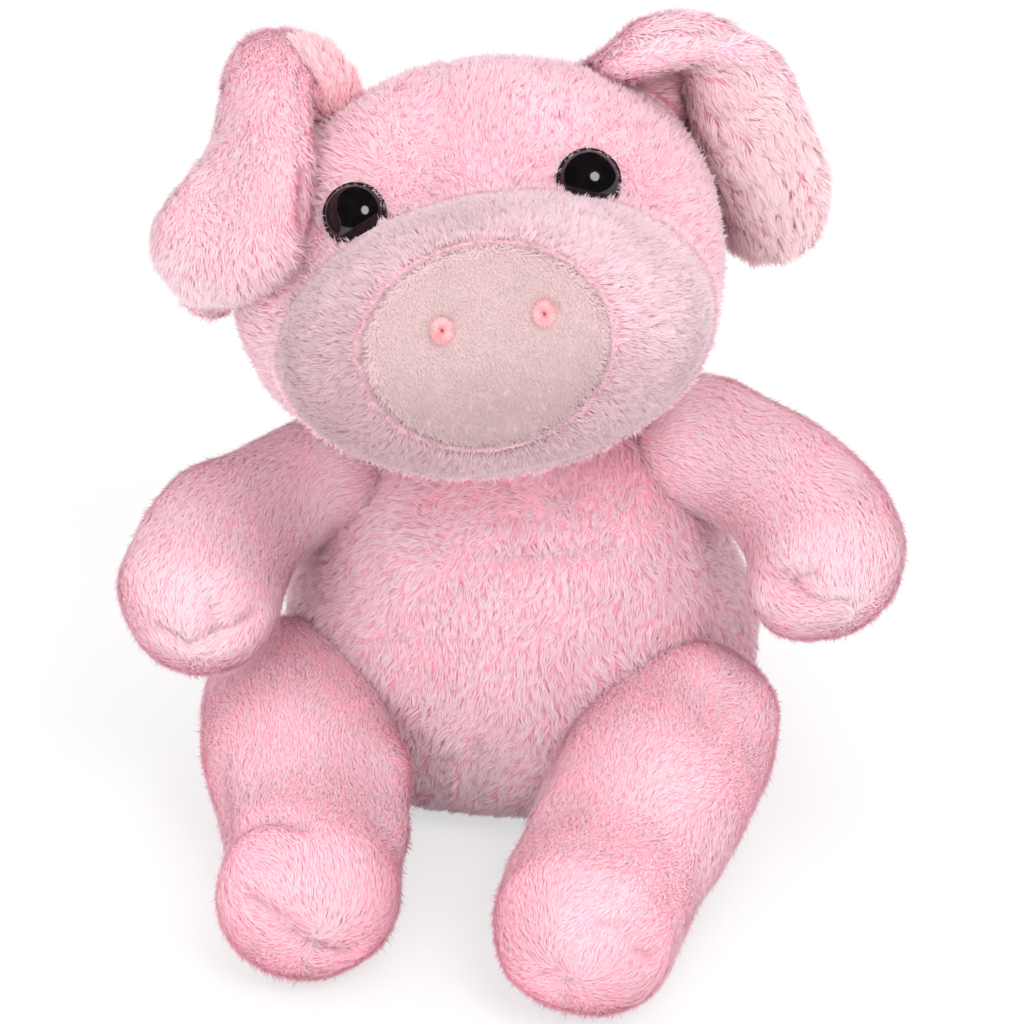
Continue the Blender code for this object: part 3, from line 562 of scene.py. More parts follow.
@dataclass
class Skin:
    """A closed skin: rings of points along a form, and a pole past each end."""

    rings: Array
    first: Array
    last: Array

    def mesh_parts(self) -> tuple[Array, Array, Array]:
        """Joins the rings by quads and the poles by triangles, turned so that the volume is positive.

        Returns:
            The vertices, the quads and the triangles.
        """
        count, around = self.rings.shape[:2]
        points = np.concatenate([self.rings.reshape(-1, 3), [self.first, self.last]])
        index = np.arange(count * around).reshape(count, around)
        ahead = np.roll(index, -1, axis=1)
        quads = np.stack([index[:-1], ahead[:-1], ahead[1:], index[1:]], axis=-1).reshape(-1, 4)
        pole = count * around
        near = np.stack([ahead[0], index[0], np.full(around, pole)], axis=-1)
        far = np.stack([index[-1], ahead[-1], np.full(around, pole + 1)], axis=-1)
        tris = np.concatenate([near, far])
        every = np.concatenate([quads[:, :3], quads[:, [0, 2, 3]], tris])
        corners = points[every] - points.mean(axis=0)
        volume = np.einsum("ij,ij->i", corners[:, 0], np.cross(corners[:, 1], corners[:, 2])).sum()
        if volume < 0:
            quads, tris = quads[:, ::-1], tris[:, ::-1]
        return points, quads, tris

    def normals(self) -> Array:
        """Crosses the steps along the skin and around it.

        Returns:
            The outward direction at each ring point.
        """
        around = np.roll(self.rings, -1, axis=1) - np.roll(self.rings, 1, axis=1)
        before, after = (np.broadcast_to(pole, self.rings[:1].shape) for pole in (self.first, self.last))
        ends = np.concatenate([before, self.rings, after])
        along = ends[2:] - ends[:-2]
        found = unit(np.cross(around, along))
        middle = self.rings.mean(axis=1, keepdims=True)
        outward = np.einsum("ijk,ijk->", found, self.rings - middle)
        return found if outward > 0 else -found

    def pushed(self, amount: Array | float) -> "Skin":
        """Moves the skin along its outward directions, and each pole away from its end ring.

        Args:
            amount: How far, for the whole skin or for each of its points.

        Returns:
            The moved skin.
        """
        amount = np.broadcast_to(amount, self.rings.shape[:2])
        first = self.first + unit(self.first - self.rings[0].mean(axis=0)) * amount[0].mean()
        last = self.last + unit(self.last - self.rings[-1].mean(axis=0)) * amount[-1].mean()
        return Skin(self.rings + self.normals() * amount[..., None], first, last)

    def placed(self, matrix: Array) -> "Skin":
        """The skin taken through a matrix."""
        return Skin(carried(self.rings, matrix), carried(self.first, matrix), carried(self.last, matrix))

    def object(self, name: str) -> bpy.types.Object:
        """Makes the skin's mesh object, lifted where it would cut the floor.

        Args:
            name: The piece's name.

        Returns:
            The linked object.
        """
        points, quads, tris = self.mesh_parts()
        points[:, 2] = np.maximum(points[:, 2], FLOOR_CLEARANCE)
        return write_mesh(name, points, quads, tris)


def tube(middles: Array, radii: Array, around: int, beside: Array | Place) -> Skin:
    """A skin of circles across a line.

    Args:
        middles: The line's points.
        radii: The radius at each.
        around: Points to a circle.
        beside: A direction, or one for each point, that never lies along the line.

    Returns:
        The tube, with a flat pole at each end.
    """
    heading = unit(np.gradient(middles, axis=0))
    return Skin(circles(middles, heading, radii, around, beside), middles[0], middles[-1])


def circles(middles: Array, headings: Array, radii: Array, around: int, beside: Array | Place) -> Array:
    """Circles across a path: each middle plus radius times (cosine times side plus sine times up).

    Args:
        middles: The circles' middles.
        headings: The way the path runs at each.
        radii: The radius at each.
        around: Points to a circle.
        beside: A direction, or one for each circle, that never lies along the path.

    Returns:
        A grid of points, one row for each circle.
    """
    side = unit(np.cross(headings, beside))
    up = np.cross(side, headings)
    cos, sin = np.cos(turns(around))[:, None], np.sin(turns(around))[:, None]
    return middles[:, None] + radii[:, None, None] * (cos * side[:, None] + sin * up[:, None])


@dataclass
class Bed:
    """Where pile grows: a grid of places with the way out, the comb, the pile's length share and its tone."""

    points: Array
    normals: Array
    comb: Array
    share: Array
    tone: Array
    wraps: bool = True
    least_share: ClassVar[float] = 0.02

    def folded(self, folds: Sequence[Fold]) -> "Bed":
        """Shortens, tones and fans out the pile along folds.

        Args:
            folds: The folds.

        Returns:
            The changed bed.
        """
        share, tone, comb = self.share, self.tone, unit(self.comb)
        for fold in folds:
            gap, away = fold.nearest(self.points)
            near = bump(gap, 0, fold.width * MM)
            share = share * (1 - fold.parting * near)
            tone = tone + fold.tone * near
            comb = comb + fold.fan * bump(gap, 0, fold.fan_reach * fold.width * MM)[..., None] * away
        return Bed(self.points, self.normals, comb, share, tone, self.wraps)

    def corners(self, grid: Array) -> list[Array]:
        """Gives every cell of a grid its four corners.

        Args:
            grid: Numbers at the bed's places.

        Returns:
            The numbers at the low, right, upper and far corners of the cells.
        """
        wide = np.concatenate([grid, grid[:, :1]], axis=1) if self.wraps else grid
        return [wide[:-1, :-1], wide[:-1, 1:], wide[1:, :-1], wide[1:, 1:]]

    def sampled(self, count: int, rng: np.random.Generator) -> dict[str, Array]:
        """Random places on the grid, even by area, with every quantity mixed from the cell's four corners.

        Args:
            count: How many places.
            rng: The source of chance.

        Returns:
            The bed's quantities at the places, by name.
        """
        low, right, up, far = self.corners(self.points)
        area = np.linalg.norm(np.cross(right - low, up - low), axis=-1) / 2
        area += np.linalg.norm(np.cross(right - far, up - far), axis=-1) / 2
        area = area * (np.mean(self.corners(self.share), axis=0) > self.least_share)
        total = np.cumsum(area.ravel())
        cell = np.minimum(np.searchsorted(total, rng.random(count) * total[-1]), len(total) - 1)
        s, t = rng.random((2, count))
        weights = ((1 - s) * (1 - t), s * (1 - t), (1 - s) * t, s * t)
        found = {}
        for name in ("points", "normals", "comb", "share", "tone"):
            grids = [grid.reshape((-1,) + grid.shape[2:])[cell] for grid in self.corners(getattr(self, name))]
            shape = (-1,) + (1,) * (grids[0].ndim - 1)
            found[name] = sum(w.reshape(shape) * grid for w, grid in zip(weights, grids))
        return found


@dataclass
class Tufts:
    """Which tuft each fibre belongs to, and how many fibres each tuft has."""

    index: Array
    size: Array

    def middle(self, values: Array) -> Array:
        """The mean of the values over each fibre's tuft."""
        sums = np.stack([np.bincount(self.index, column) for column in values.T], axis=1)
        return (sums / self.size[:, None])[self.index]

    def chance(self, rng: np.random.Generator, *channels: int) -> Array:
        """One draw from the normal curve for each tuft, given to its fibres."""
        return rng.normal(size=(len(self.size), *channels))[self.index]


@dataclass(frozen=True)
class Pile:
    """How a cloth's pile stands.

    Attributes:
        length: A fibre's length.
        width: Its width.
        rise: Degrees off the cloth in its lower half.
        lay: Degrees off the cloth in its upper half.
        upright: Share of the fibres that stand up more.
        tuft: A tuft's width.
        gather: How far tips are drawn to their tuft's middle.
        sway: How much whole tufts turn off the comb.
        untidy: How much single fibres turn off it.
        relief: How round a tuft looks in the light.
        tone_spread: How much tones differ.
        gap_tone: How much paler a tuft's middle is than its rim, whose deeper tone is painted shade in the
            gaps between tufts.
        rim_reach: How soon a tuft's rim comes, going out from its middle.
        rim_loss: How much shorter the fibres are at a tuft's rim.
        lengths: The shortest and the longest fibre, as shares of the length.
        uprights: Least and most degrees that the upright ones stand up more.
        lift_spread: Degrees that single fibres differ by.
        lower_share: The lower half's share of a fibre's length.
        lower_pull: How much of the gathering a fibre's middle follows.
        pulls: The least and the most of the gathering.
        facing_spread: How much the directions that the light meets differ.
        tuft_tone: How much of the tones' difference whole tufts share.
        cell_bend: How far the tufts' grid is bent, in tufts.
        cell_chance: How far chance moves a root on that grid, in tufts.
    """

    length: float = 3.6 * MM
    width: float = 0.19 * MM
    rise: float = 44.0
    lay: float = 13.0
    upright: float = 0.12
    tuft: float = 1.6 * MM
    gather: float = 0.28
    sway: float = 0.16
    untidy: float = 0.16
    relief: float = 0.3
    tone_spread: float = 0.10
    gap_tone: float = 0.12
    rim_reach: float = 1.7
    rim_loss: float = 0.22
    lengths: tuple[float, float] = (0.72, 1.12)
    uprights: tuple[float, float] = (10.0, 40.0)
    lift_spread: float = 5.0
    lower_share: float = 0.45
    lower_pull: float = 0.35
    pulls: tuple[float, float] = (0.5, 1.0)
    facing_spread: float = 0.12
    tuft_tone: float = 0.7
    cell_bend: float = 0.55
    cell_chance: float = 0.12

    def grow(self, name: str, bed: Bed, count: int, seed: int) -> bpy.types.Object:
        """Grows fibres: each is a kite of two triangles, rising from its root and bent over to the comb.

        The root stands on the bed. The middle is nearly half a length on at the rise angle and the tip the
        rest at the lay angle, both leaning to the comb. Fibres fall into tufts: each tuft turns its own way
        off the comb, its tips are drawn to its middle, and its rim is shorter and deeper in colour. Light
        meets a tuft as if it were a round lock.

        Args:
            name: The piece's name.
            bed: Where it grows.
            count: How many fibres.
            seed: Which chance.

        Returns:
            The pile as one mesh object.
        """
        rng = np.random.default_rng(seed)
        at = bed.sampled(count, rng)
        out = unit(at["normals"])
        root = at["points"] - out * ROOT_DEPTH
        tufts = self.tufted(root, rng, seed)
        off = (root - tufts.middle(root)) / self.tuft
        edge = np.clip(np.linalg.norm(off, axis=1) * self.rim_reach, 0, 1)
        comb = unit(at["comb"]) + self.sway * tufts.chance(rng, 3)
        comb = comb + self.untidy * rng.normal(size=(count, 3))
        comb = unit(comb - np.einsum("ij,ij->i", comb, out)[:, None] * out)
        length = self.length * np.clip(at["share"], 0, None) * rng.uniform(*self.lengths, count)
        length = (length * (1 - self.rim_loss * edge))[:, None]
        raised = rng.random(count) < self.upright
        lift = np.where(raised, rng.uniform(*self.uprights, count), 0)
        lift = lift + self.lift_spread * rng.normal(size=count)
        rise, lay = (np.radians(angle + lift)[:, None] for angle in (self.rise, self.lay))
        middle = root + (np.cos(rise) * comb + np.sin(rise) * out) * length * self.lower_share
        tip = middle + (np.cos(lay) * comb + np.sin(lay) * out) * length * (1 - self.lower_share)
        drawn = tufts.middle(tip) - tip
        pull = (self.gather * rng.uniform(*self.pulls, count))[:, None]
        tip, middle = tip + drawn * pull, middle + drawn * pull * self.lower_pull
        across = unit(np.cross(tip - root, out)) * self.width / 2
        points = np.stack([root, middle - across, middle + across, tip], axis=1)
        points[..., 2] = np.maximum(points[..., 2], FLOOR_CLEARANCE)
        base = np.arange(count)[:, None] * 4
        tris = np.concatenate([base + [0, 2, 1], base + [1, 2, 3]], axis=1).reshape(-1, 3)
        made = write_mesh(name, points.reshape(-1, 3), NO_QUADS, tris)
        facing = unit(out + self.relief * off + self.facing_spread * rng.normal(size=(count, 3)))
        made.data.normals_split_custom_set_from_vertices(np.repeat(facing, 4, axis=0))
        spread = self.tuft_tone * tufts.chance(rng) + rng.normal(size=count)
        # Painted shade: a tuft's rim is deeper, in the gaps between tufts.
        tone = at["tone"] + self.tone_spread * spread + self.gap_tone * (0.5 - edge)
        self.map_tones(made, tone, tris)
        return made

    def tufted(self, root: Array, rng: np.random.Generator, seed: int) -> Tufts:
        """Sorts roots into tufts: cells of a grid in space that soft noise and a little chance have bent.

        Args:
            root: The fibres' roots.
            rng: The source of chance.
            seed: Which noise.

        Returns:
            The tufts.
        """
        bent = root + ripple(root, 4.5 * self.tuft, seed + 1, 3) * self.cell_bend * self.tuft
        bent = bent + rng.normal(scale=self.cell_chance * self.tuft, size=root.shape)
        cell = np.floor(bent / self.tuft).astype(np.int64)
        key = np.bitwise_xor.reduce(cell * HASH_PRIMES, axis=1)
        index = np.unique(key, return_inverse=True)[1]
        return Tufts(index, np.bincount(index))

    @staticmethod
    def map_tones(made: bpy.types.Object, tone: Array, tris: Array) -> None:
        """Lays each strand on the map: its tone picks the column, which it runs up from root to tip.

        Args:
            made: The pile's object.
            tone: Each strand's tone, from 0 to 1.
            tris: The strands' triangles.
        """
        column = (np.floor(np.clip(tone, 0, 0.999) * TONE_COLUMNS) + 0.5) / TONE_COLUMNS
        half = STRAND_HALF / TONE_COLUMNS
        sides = np.stack([column, column - half, column + half, column], axis=1)
        heights = np.broadcast_to(STRAND_HEIGHTS, sides.shape)
        corner = np.stack([sides, heights], axis=-1).reshape(-1, 2)[tris.ravel()]
        strand = made.data.uv_layers.new(name=BAKE_MAP)
        strand.uv.foreach_set("vector", np.ascontiguousarray(corner, np.float32).ravel())


@dataclass
class Workshop:
    palette: Palette

    def finish(self, piece: bpy.types.Object, slot: str, body: str, finishes: Sequence[str],
               replaces: Sequence[str] = (), fill: float | None = None) -> None:
        """Dresses a piece and says what it rides on and stands for.

        Args:
            piece: The finished mesh object.
            slot: Not used.
            body: The body that it rides on.
            finishes: Names from the palette, in slot order.
            replaces: CAD nodes that it stands for.
            fill: Not used.
        """
        self.palette.dress(piece, *finishes)
        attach(piece, body)
        if replaces:
            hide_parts(*replaces)
        LOG.info("%s: %d faces on %s", piece.name, len(piece.data.polygons), body)

    def pile(self, name: str, pile: Pile, bed: Bed, fibres: int, seed: int, slot: str, body: str) -> None:
        """Grows a pile and finishes it in its slot's own finish.

        Args:
            name: The piece's name.
            pile: How it stands.
            bed: Where it grows.
            fibres: How many fibres.
            seed: Which chance.
            slot: The record's material slot.
            body: The body that it rides on.
        """
        self.finish(pile.grow(name, bed, fibres, seed), slot, body, [slot])


# The pieces


@dataclass
class Trunk:
    """The pear-shaped body, leaning to the neck, with the neck ball that the head turns on."""

    shop: Workshop
    neck_height: float = 67 * MM
    side_lean: float = 3 * MM
    back_lean: float = 4 * MM
    ball_radius: float = 24 * MM
    ball_angles: tuple[float, float] = (66.0, 6.0)
    ball_rows: int = 18
    half_width: float = 46.5 * MM
    half_depth: float = 39 * MM
    lean_power: float = 1.5
    # (height, half width, half depth) shares from the seat to where the neck ball takes over
    ring_shares: tuple[Place, ...] = (
        (0.000, 0.52, 0.52),
        (0.012, 0.66, 0.66),
        (0.060, 0.83, 0.83),
        (0.170, 0.955, 0.96),
        (0.340, 1.00, 1.00),
        (0.520, 0.985, 0.99),
        (0.700, 0.93, 0.93),
        (0.860, 0.85, 0.85),
        (0.980, 0.74, 0.74),
        (1.080, 0.62, 0.64),
    )
    folds: tuple[Fold, ...] = (
        Fold(((-2, -26, 63), (10, -26, 63), (22, -22, 62)), width=1.6, depth=1.4, fan=0.3),
        Fold(((-5, -38, 24), (-5, -37, 10)), width=2.4, depth=1.2),
        Fold(((-14, -31, 60), (-19, -31, 44)), width=5.0, depth=0.7),
        swelling(((47, 2, 32), (48, -8, 26), (46, -18, 22)), 11.0, -4.4),
    )
    around: int = 128
    rows: int = 72
    pile_room: float = 1.4 * MM
    front_fibres: int = 94000
    back_fibres: int = 44000
    comb: Place = (-0.35, 0.0, -1.0)
    pile: Pile = Pile(length=3.4 * MM, tuft=1.8 * MM, gather=0.5, sway=0.30, relief=0.4, gap_tone=0.25,
                      lay=17.0)
    tone: float = 0.84
    # Painted shadow: the pile is deeper on the chest between these heights, where the chin's shadow falls.
    chest_painted_shadow: float = 0.45
    chest: tuple[float, float] = (62 * MM, 74 * MM)
    # Painted light: the pile is paler low on the body, below these heights, where the underside gets little
    # light.
    seat_painted_light: float = 0.3
    seat: tuple[float, float] = (8 * MM, 34 * MM)
    pile_end: tuple[float, float] = (88 * MM, 90 * MM)

    def form(self) -> Skin:
        """The pear: ellipses whose middles lean by height to the lean power, then the neck ball's rings.

        Returns:
            The form before its pile.
        """
        cos, sin = np.cos(turns(self.around)), np.sin(turns(self.around))
        shares = smooth(self.ring_shares, np.linspace(0, 1, self.rows))
        height, width, depth = (shares[:, k, None] for k in range(3))
        lean = np.maximum(height, 0) ** self.lean_power
        pear = grid_points(
            self.side_lean * lean + self.half_width * width * cos,
            self.back_lean * lean + self.half_depth * depth * sin,
            self.neck_height * height,
        )
        angle = np.radians(np.linspace(*self.ball_angles, self.ball_rows))[:, None]
        ball = grid_points(
            self.side_lean + self.ball_radius * np.sin(angle) * cos,
            self.back_lean + self.ball_radius * np.sin(angle) * sin,
            self.neck_height + self.ball_radius * np.cos(angle),
        )
        top = np.array([self.side_lean, self.back_lean, self.neck_height + self.ball_radius])
        return Skin(np.concatenate([pear, ball]), np.array([0.0, 0.0, 0.0]), top)

    def build(self) -> None:
        """Builds the body's skin and its pile."""
        form = self.form()
        skin = form.pushed(-self.pile_room - folded_depth(self.folds, form.rings))
        self.shop.finish(skin.object("body_skin"), "pink_plush", "trunk", ["plush_backing"],
                         ["trunk_cover", "trunk_fill", "pellet_pouch"], fill=0.8)
        points, normals = skin.rings, skin.normals()
        height = points[..., 2]
        comb = swayed(np.array(self.comb), points, 0.45, 30 * MM, 11)
        share = (1 - step_up(height, *self.pile_end)) * mottled(points, 1, 0.12, 14 * MM, 12)
        # Painted shadow of the chin on the chest.
        tone = mottled(points, self.tone, 0.10, 16 * MM, 13) - self.chest_painted_shadow * step_up(height, *self.chest)
        # Painted light low on the body, where the underside gets little light.
        tone = tone + self.seat_painted_light * (1 - step_up(height, *self.seat))
        front = points[..., 1] < np.interp(height, (0, self.neck_height), (0, self.back_lean))
        halves = (
            ("body_pile_front", front, self.front_fibres, 101),
            ("body_pile_back", ~front, self.back_fibres, 102),
        )
        for name, half, fibres, seed in halves:
            bed = Bed(points, normals, comb, share * half, tone).folded(self.folds)
            self.shop.pile(name, self.pile, bed, fibres, seed, "pink_plush", "trunk")


@dataclass
class Head:
    """The head with its muzzle and snout pad, all one swelling form parted at two seams."""

    shop: Workshop
    neck: Place = (3 * MM, 4 * MM, 67 * MM)
    roll: float = 8.5
    yaw: float = 4.0
    pitch: float = 25.0
    forward: float = 29.5 * MM
    rise: float = 42.0 * MM
    half_width: float = 46.0 * MM
    half_height: float = 39.3 * MM
    back_depth: float = 38 * MM
    face_depth: float = 27 * MM
    muzzle_length: float = 23 * MM
    snout_half_width: float = 21.8 * MM
    snout_half_height: float = 18.0 * MM
    snout_drop: float = 13.2 * MM
    snout_crown: float = 2.2 * MM
    snout_shift: float = -1.9 * MM
    nostril_spacing: float = 9.2 * MM
    nostril_rise: float = 4.3 * MM
    # (depth, half width, top, bottom) shares from the widest ring to the muzzle seam
    face_shares: tuple[tuple[float, float, float, float], ...] = (
        (0.00, 1.000, 1.00, 1.000),
        (0.37, 0.990, 0.955, 1.010),
        (0.67, 0.955, 0.830, 1.015),
        (0.88, 0.915, 0.600, 1.010),
        (1.00, 0.880, 0.330, 0.985),
    )
    folds: tuple[Fold, ...] = (
        Fold(((-13, 10, 152), (-13, -4, 154), (-12, -11, 152), (-11, -17, 147)), width=2.6, depth=1.2),
        swelling(((-26, 8, 147), (-10, 11, 152), (4, 11, 153)), 13.0, 2.0),
        swelling(((-47, -22, 112), (-42, -26, 100)), 10.0, -3.4),
        swelling(((42, -4, 120), (41, -8, 111), (37, -12, 102)), 12.0, 1.9),
        swelling(((-49, -11, 106), (-44, -14, 98)), 8.0, 1.0),
    )
    around: int = 144
    pile_room: float = 1.2 * MM
    back_angles: tuple[float, float] = (1.2, 88.0)
    back_rings: int = 42
    face_rings: int = 34
    muzzle_angles: tuple[float, float] = (0.0, 87.0)
    muzzle_rings: int = 60
    groove: float = 0.25 * MM
    groove_reach: float = 2.2 * MM
    muzzle_groove_reach: float = 2.0 * MM
    seam_gap: float = 0.3 * MM
    lip_reach: float = 1.8 * MM
    lip_share: float = 0.965
    turn_in: float = 2.6 * MM
    turn_share: float = 0.9
    turn_angle: float = 96.0
    pad_rings: int = 46
    pad_edge_rings: int = 14
    pad_flat: float = 0.93
    pad_edge: float = 0.125
    pad_edge_drop: float = 0.7 * MM
    pad_depth: float = 3 * MM
    pad_back: float = 4 * MM
    pad_room: float = 0.6 * MM
    neck_room: float = 25.5 * MM
    cover_fibres: int = 84000
    muzzle_fibres: int = 86000
    pad_fibres: int = 32000
    cover_pile: Pile = Pile(length=3.3 * MM, gather=0.35, sway=0.2)
    muzzle_pile: Pile = Pile(length=2.9 * MM, width=0.17 * MM, gather=0.35, sway=0.2)
    pad_pile: Pile = Pile(length=1.1 * MM, width=0.25 * MM, tuft=0.9 * MM, gather=0.12, untidy=0.4, lay=14.0,
                          upright=0.0, relief=0.06, tone_spread=0.03, gap_tone=0.03)

    @property
    def place(self) -> Array:
        """The head's own axes in the row frame."""
        held = turn_about("Z", self.yaw) @ turn_about("Y", -self.roll) @ turn_about("X", -self.pitch)
        return shift(*self.neck) @ held @ shift(0, -self.forward, self.rise)

    @property
    def muzzle_front(self) -> float:
        """How far in front of the widest ring the snout pad's rim lies."""
        return self.face_depth + self.muzzle_length

    def section(self, depth: Array) -> tuple[Array, Array, Array]:
        """Measures the outline: eased shares over the face, quarter ellipses behind and before it.

        Args:
            depth: Depths in front of the widest ring; below 0 behind it.

        Returns:
            Half width, half height and middle height at the depths.
        """
        shares = smooth(self.face_shares, np.linspace(0, 1, 200))
        share = np.clip(depth / self.face_depth, 0, 1)
        width, top, bottom = (np.interp(share, shares[:, 0], shares[:, k]) for k in (1, 2, 3))
        width, top, bottom = width * self.half_width, top * self.half_height, -bottom * self.half_height
        back = np.sqrt(np.clip(1 - (np.minimum(depth, 0) / self.back_depth) ** 2, 0, 1))
        along = np.clip((depth - self.face_depth) / self.muzzle_length, 0, 1)
        bulge = np.sqrt(1 - along**2)
        width = (width - self.snout_half_width) * bulge + self.snout_half_width
        high = ((top - bottom) / 2 - self.snout_half_height) * bulge + self.snout_half_height
        middle = ((top + bottom) / 2 + self.snout_drop) * bulge - self.snout_drop
        return width * back, high * back, middle * back

    def rings(self, depths: Array) -> Array:
        """Ellipses across the way the head faces, which move aside with the snout over the muzzle.

        Args:
            depths: Where the rings lie, in front of the widest.

        Returns:
            A grid of points about the head's middle, one row for each ring.
        """
        cos, sin = np.cos(turns(self.around)), np.sin(turns(self.around))
        width, high, middle = (value[:, None] for value in self.section(depths))
        aside = self.snout_shift * step_up(depths, self.face_depth, self.muzzle_front)[:, None]
        return grid_points(aside + width * cos, -depths[:, None], middle + high * sin)

    def level(self, place: Array) -> float:
        """How far out a place is: 1 on the face, more outside, by its ellipse at that depth."""
        width, high, middle = (float(value[0]) for value in self.section(np.array([-place[1]])))
        return float((place[0] / width) ** 2 + ((place[2] - middle) / high) ** 2)

    def point(self, side: float, rise: float) -> tuple[Array, Array]:
        """Finds a place on the face, and the way out there by central differences of the level.

        Args:
            side: How far aside of the middle.
            rise: How far above it.

        Returns:
            The place, and the outward direction.
        """
        depths = np.linspace(0, self.face_depth, 400)
        width, high, middle = self.section(depths)
        depth = depths[(side / width) ** 2 + ((rise - middle) / high) ** 2 < 1].max()
        at = np.array([side, -depth, rise])
        step = 0.3 * MM
        slope = [self.level(at + step * axis) - self.level(at - step * axis) for axis in np.eye(3)]
        return at, unit(np.array(slope))

    def bed(self, skin: Skin, comb: Array, share: Array, tone: Array) -> Bed:
        """Lays out a bed for pile on one of the head's skins.

        Args:
            skin: The skin about the head's middle.
            comb: The way the pile is combed, in the head's axes.
            share: The pile's length share.
            tone: Its tone.

        Returns:
            The bed in the row frame.
        """
        turn = self.place[:3, :3].T
        return Bed(skin.placed(self.place).rings, skin.normals() @ turn, comb @ turn, share, tone)

    def build(self) -> None:
        """Builds the head's three skins and their piles."""
        self.build_cover()
        self.build_muzzle()
        self.build_pad()

    def build_cover(self) -> None:
        """The back and face of the head, up to a lip inside the muzzle seam."""
        angles = np.radians(np.linspace(*self.back_angles, self.back_rings))
        face = np.linspace(0, self.face_depth, self.face_rings)
        depths = np.concatenate([-self.back_depth * np.cos(angles), face])
        rings = self.rings(depths)
        pole = np.array([0, self.back_depth - self.pile_room, 0.0])
        wall = rings[-1].mean(axis=0)
        skin = Skin(rings, pole, wall)
        seam = bump(depths, self.face_depth, self.groove_reach)[:, None] * self.groove
        dart = folded_depth(self.folds, skin.placed(self.place).rings)
        skin = skin.pushed(-self.pile_room - seam - dart)
        ahead = wall + np.array([0, -self.lip_reach, 0])
        lip = ahead + (skin.rings[-1] - wall) * self.lip_share
        skin = Skin(np.concatenate([skin.rings, lip[None]]), pole, ahead)
        placed = skin.placed(self.place)
        self.shop.finish(placed.object("head_skin"), "pink_plush", "head", ["plush_backing"],
                         ["head_cover", "head_fill"], fill=0.85)
        local = skin.rings
        backwards = swayed(np.array([0.0, 1.0, 0.0]), local, 0.35, 26 * MM, 21)
        inside = np.linalg.norm(placed.rings - np.array(self.neck), axis=-1) < self.neck_room
        share = mottled(local, 1, 0.10, 12 * MM, 22) * ~inside
        tone = mottled(local, 0.56, 0.12, 18 * MM, 23)
        left = local[..., 0] < 0
        for name, half, seed in (("head_pile_left", left, 111), ("head_pile_right", ~left, 112)):
            bed = self.bed(skin, unit(backwards), share * half, tone).folded(self.folds)
            self.shop.pile(name, self.cover_pile, bed, self.cover_fibres, seed, "pink_plush", "head")

    def build_muzzle(self) -> None:
        """The bulging muzzle from its seam to the snout pad's rim, where its edge is turned in."""
        start = self.face_depth + self.seam_gap
        degrees = np.linspace(*self.muzzle_angles, self.muzzle_rings)
        depths = start + (self.muzzle_length - self.seam_gap) * np.sin(np.radians(degrees))
        rings = self.rings(depths)
        wall, front = rings[0].mean(axis=0), rings[-1].mean(axis=0)
        seam = bump(depths, self.face_depth, self.muzzle_groove_reach) * self.groove
        room = self.pile_room * (1 - 0.7 * bump(degrees, 88, 12))
        full = folded_depth(self.folds, carried(rings, self.place))
        skin = Skin(rings, wall, front).pushed(-(room + seam)[:, None] - full)
        inwards = np.array([0, self.turn_in, 0])
        turned = front + (skin.rings[-1] - front) * self.turn_share + inwards
        skin = Skin(np.concatenate([skin.rings, turned[None]]), wall, front + inwards)
        degrees = np.append(degrees, self.turn_angle)
        self.shop.finish(skin.placed(self.place).object("muzzle_skin"), "muzzle_plush", "head",
                         ["muzzle_backing"], ["muzzle_cover"], fill=0.8)
        local = skin.rings
        side, rise = local[..., 0], local[..., 2]
        middle = np.array([self.snout_shift, -depths[-1], -self.snout_drop])
        away = swayed(unit(local - middle) + np.array([0, 0.35, 0]), local, 0.3, 20 * MM, 31)
        share = mottled(local, 0.92, 0.10, 10 * MM, 32)
        seamward = bump(degrees, 0, 20)[:, None]
        rimward = bump(degrees, 90, 7)[:, None]
        # Painted shade: the pile is deeper on the muzzle's lower left side and on its underside. Painted
        # light: it is paler on its right side.
        shaded = step_up(-side, 4 * MM, 32 * MM) * step_up(-rise, -8 * MM, 14 * MM)
        tone = mottled(local, 0.64, 0.08, 15 * MM, 33) + 0.3 * seamward - 0.2 * rimward - 0.52 * shaded
        tone = tone - 0.35 * step_up(-rise, 12 * MM, 26 * MM) + 0.2 * step_up(side, 4 * MM, 26 * MM)
        bed = self.bed(skin, away, share, tone)
        self.shop.pile("muzzle_pile", self.muzzle_pile, bed, self.muzzle_fibres, 121, "muzzle_plush", "head")

    def pad_skin(self) -> tuple[Skin, Array]:
        """Shapes the snout pad: a crowned oval disc whose rim turns in to its seam.

        Returns:
            The skin about the head's middle, and each ring's share of the pad's size.
        """
        cos, sin = np.cos(turns(self.around)), np.sin(turns(self.around))
        turned = self.pad_flat + self.pad_edge * np.sin(np.linspace(0.1, np.pi / 2, self.pad_edge_rings))
        share = np.concatenate([np.linspace(0.02, self.pad_flat, self.pad_rings), turned])
        crown = self.snout_crown * (1 - share**2) - self.pad_edge_drop * step_up(share, 0.96, 1.05)
        rows = grid_points(
            self.snout_shift + self.snout_half_width * share[:, None] * cos,
            -(self.muzzle_front + crown)[:, None],
            -self.snout_drop + self.snout_half_height * share[:, None] * sin,
        )
        tip = np.array([self.snout_shift, -self.muzzle_front - self.snout_crown, -self.snout_drop])
        back = np.array([self.snout_shift, -self.muzzle_front + self.pad_back, -self.snout_drop])
        wall = rows[-1] + np.array([0, self.pad_depth, 0])
        skin = Skin(np.concatenate([rows, [wall]]), tip, back).pushed(-self.pad_room)
        return skin, np.append(share, 1.0)

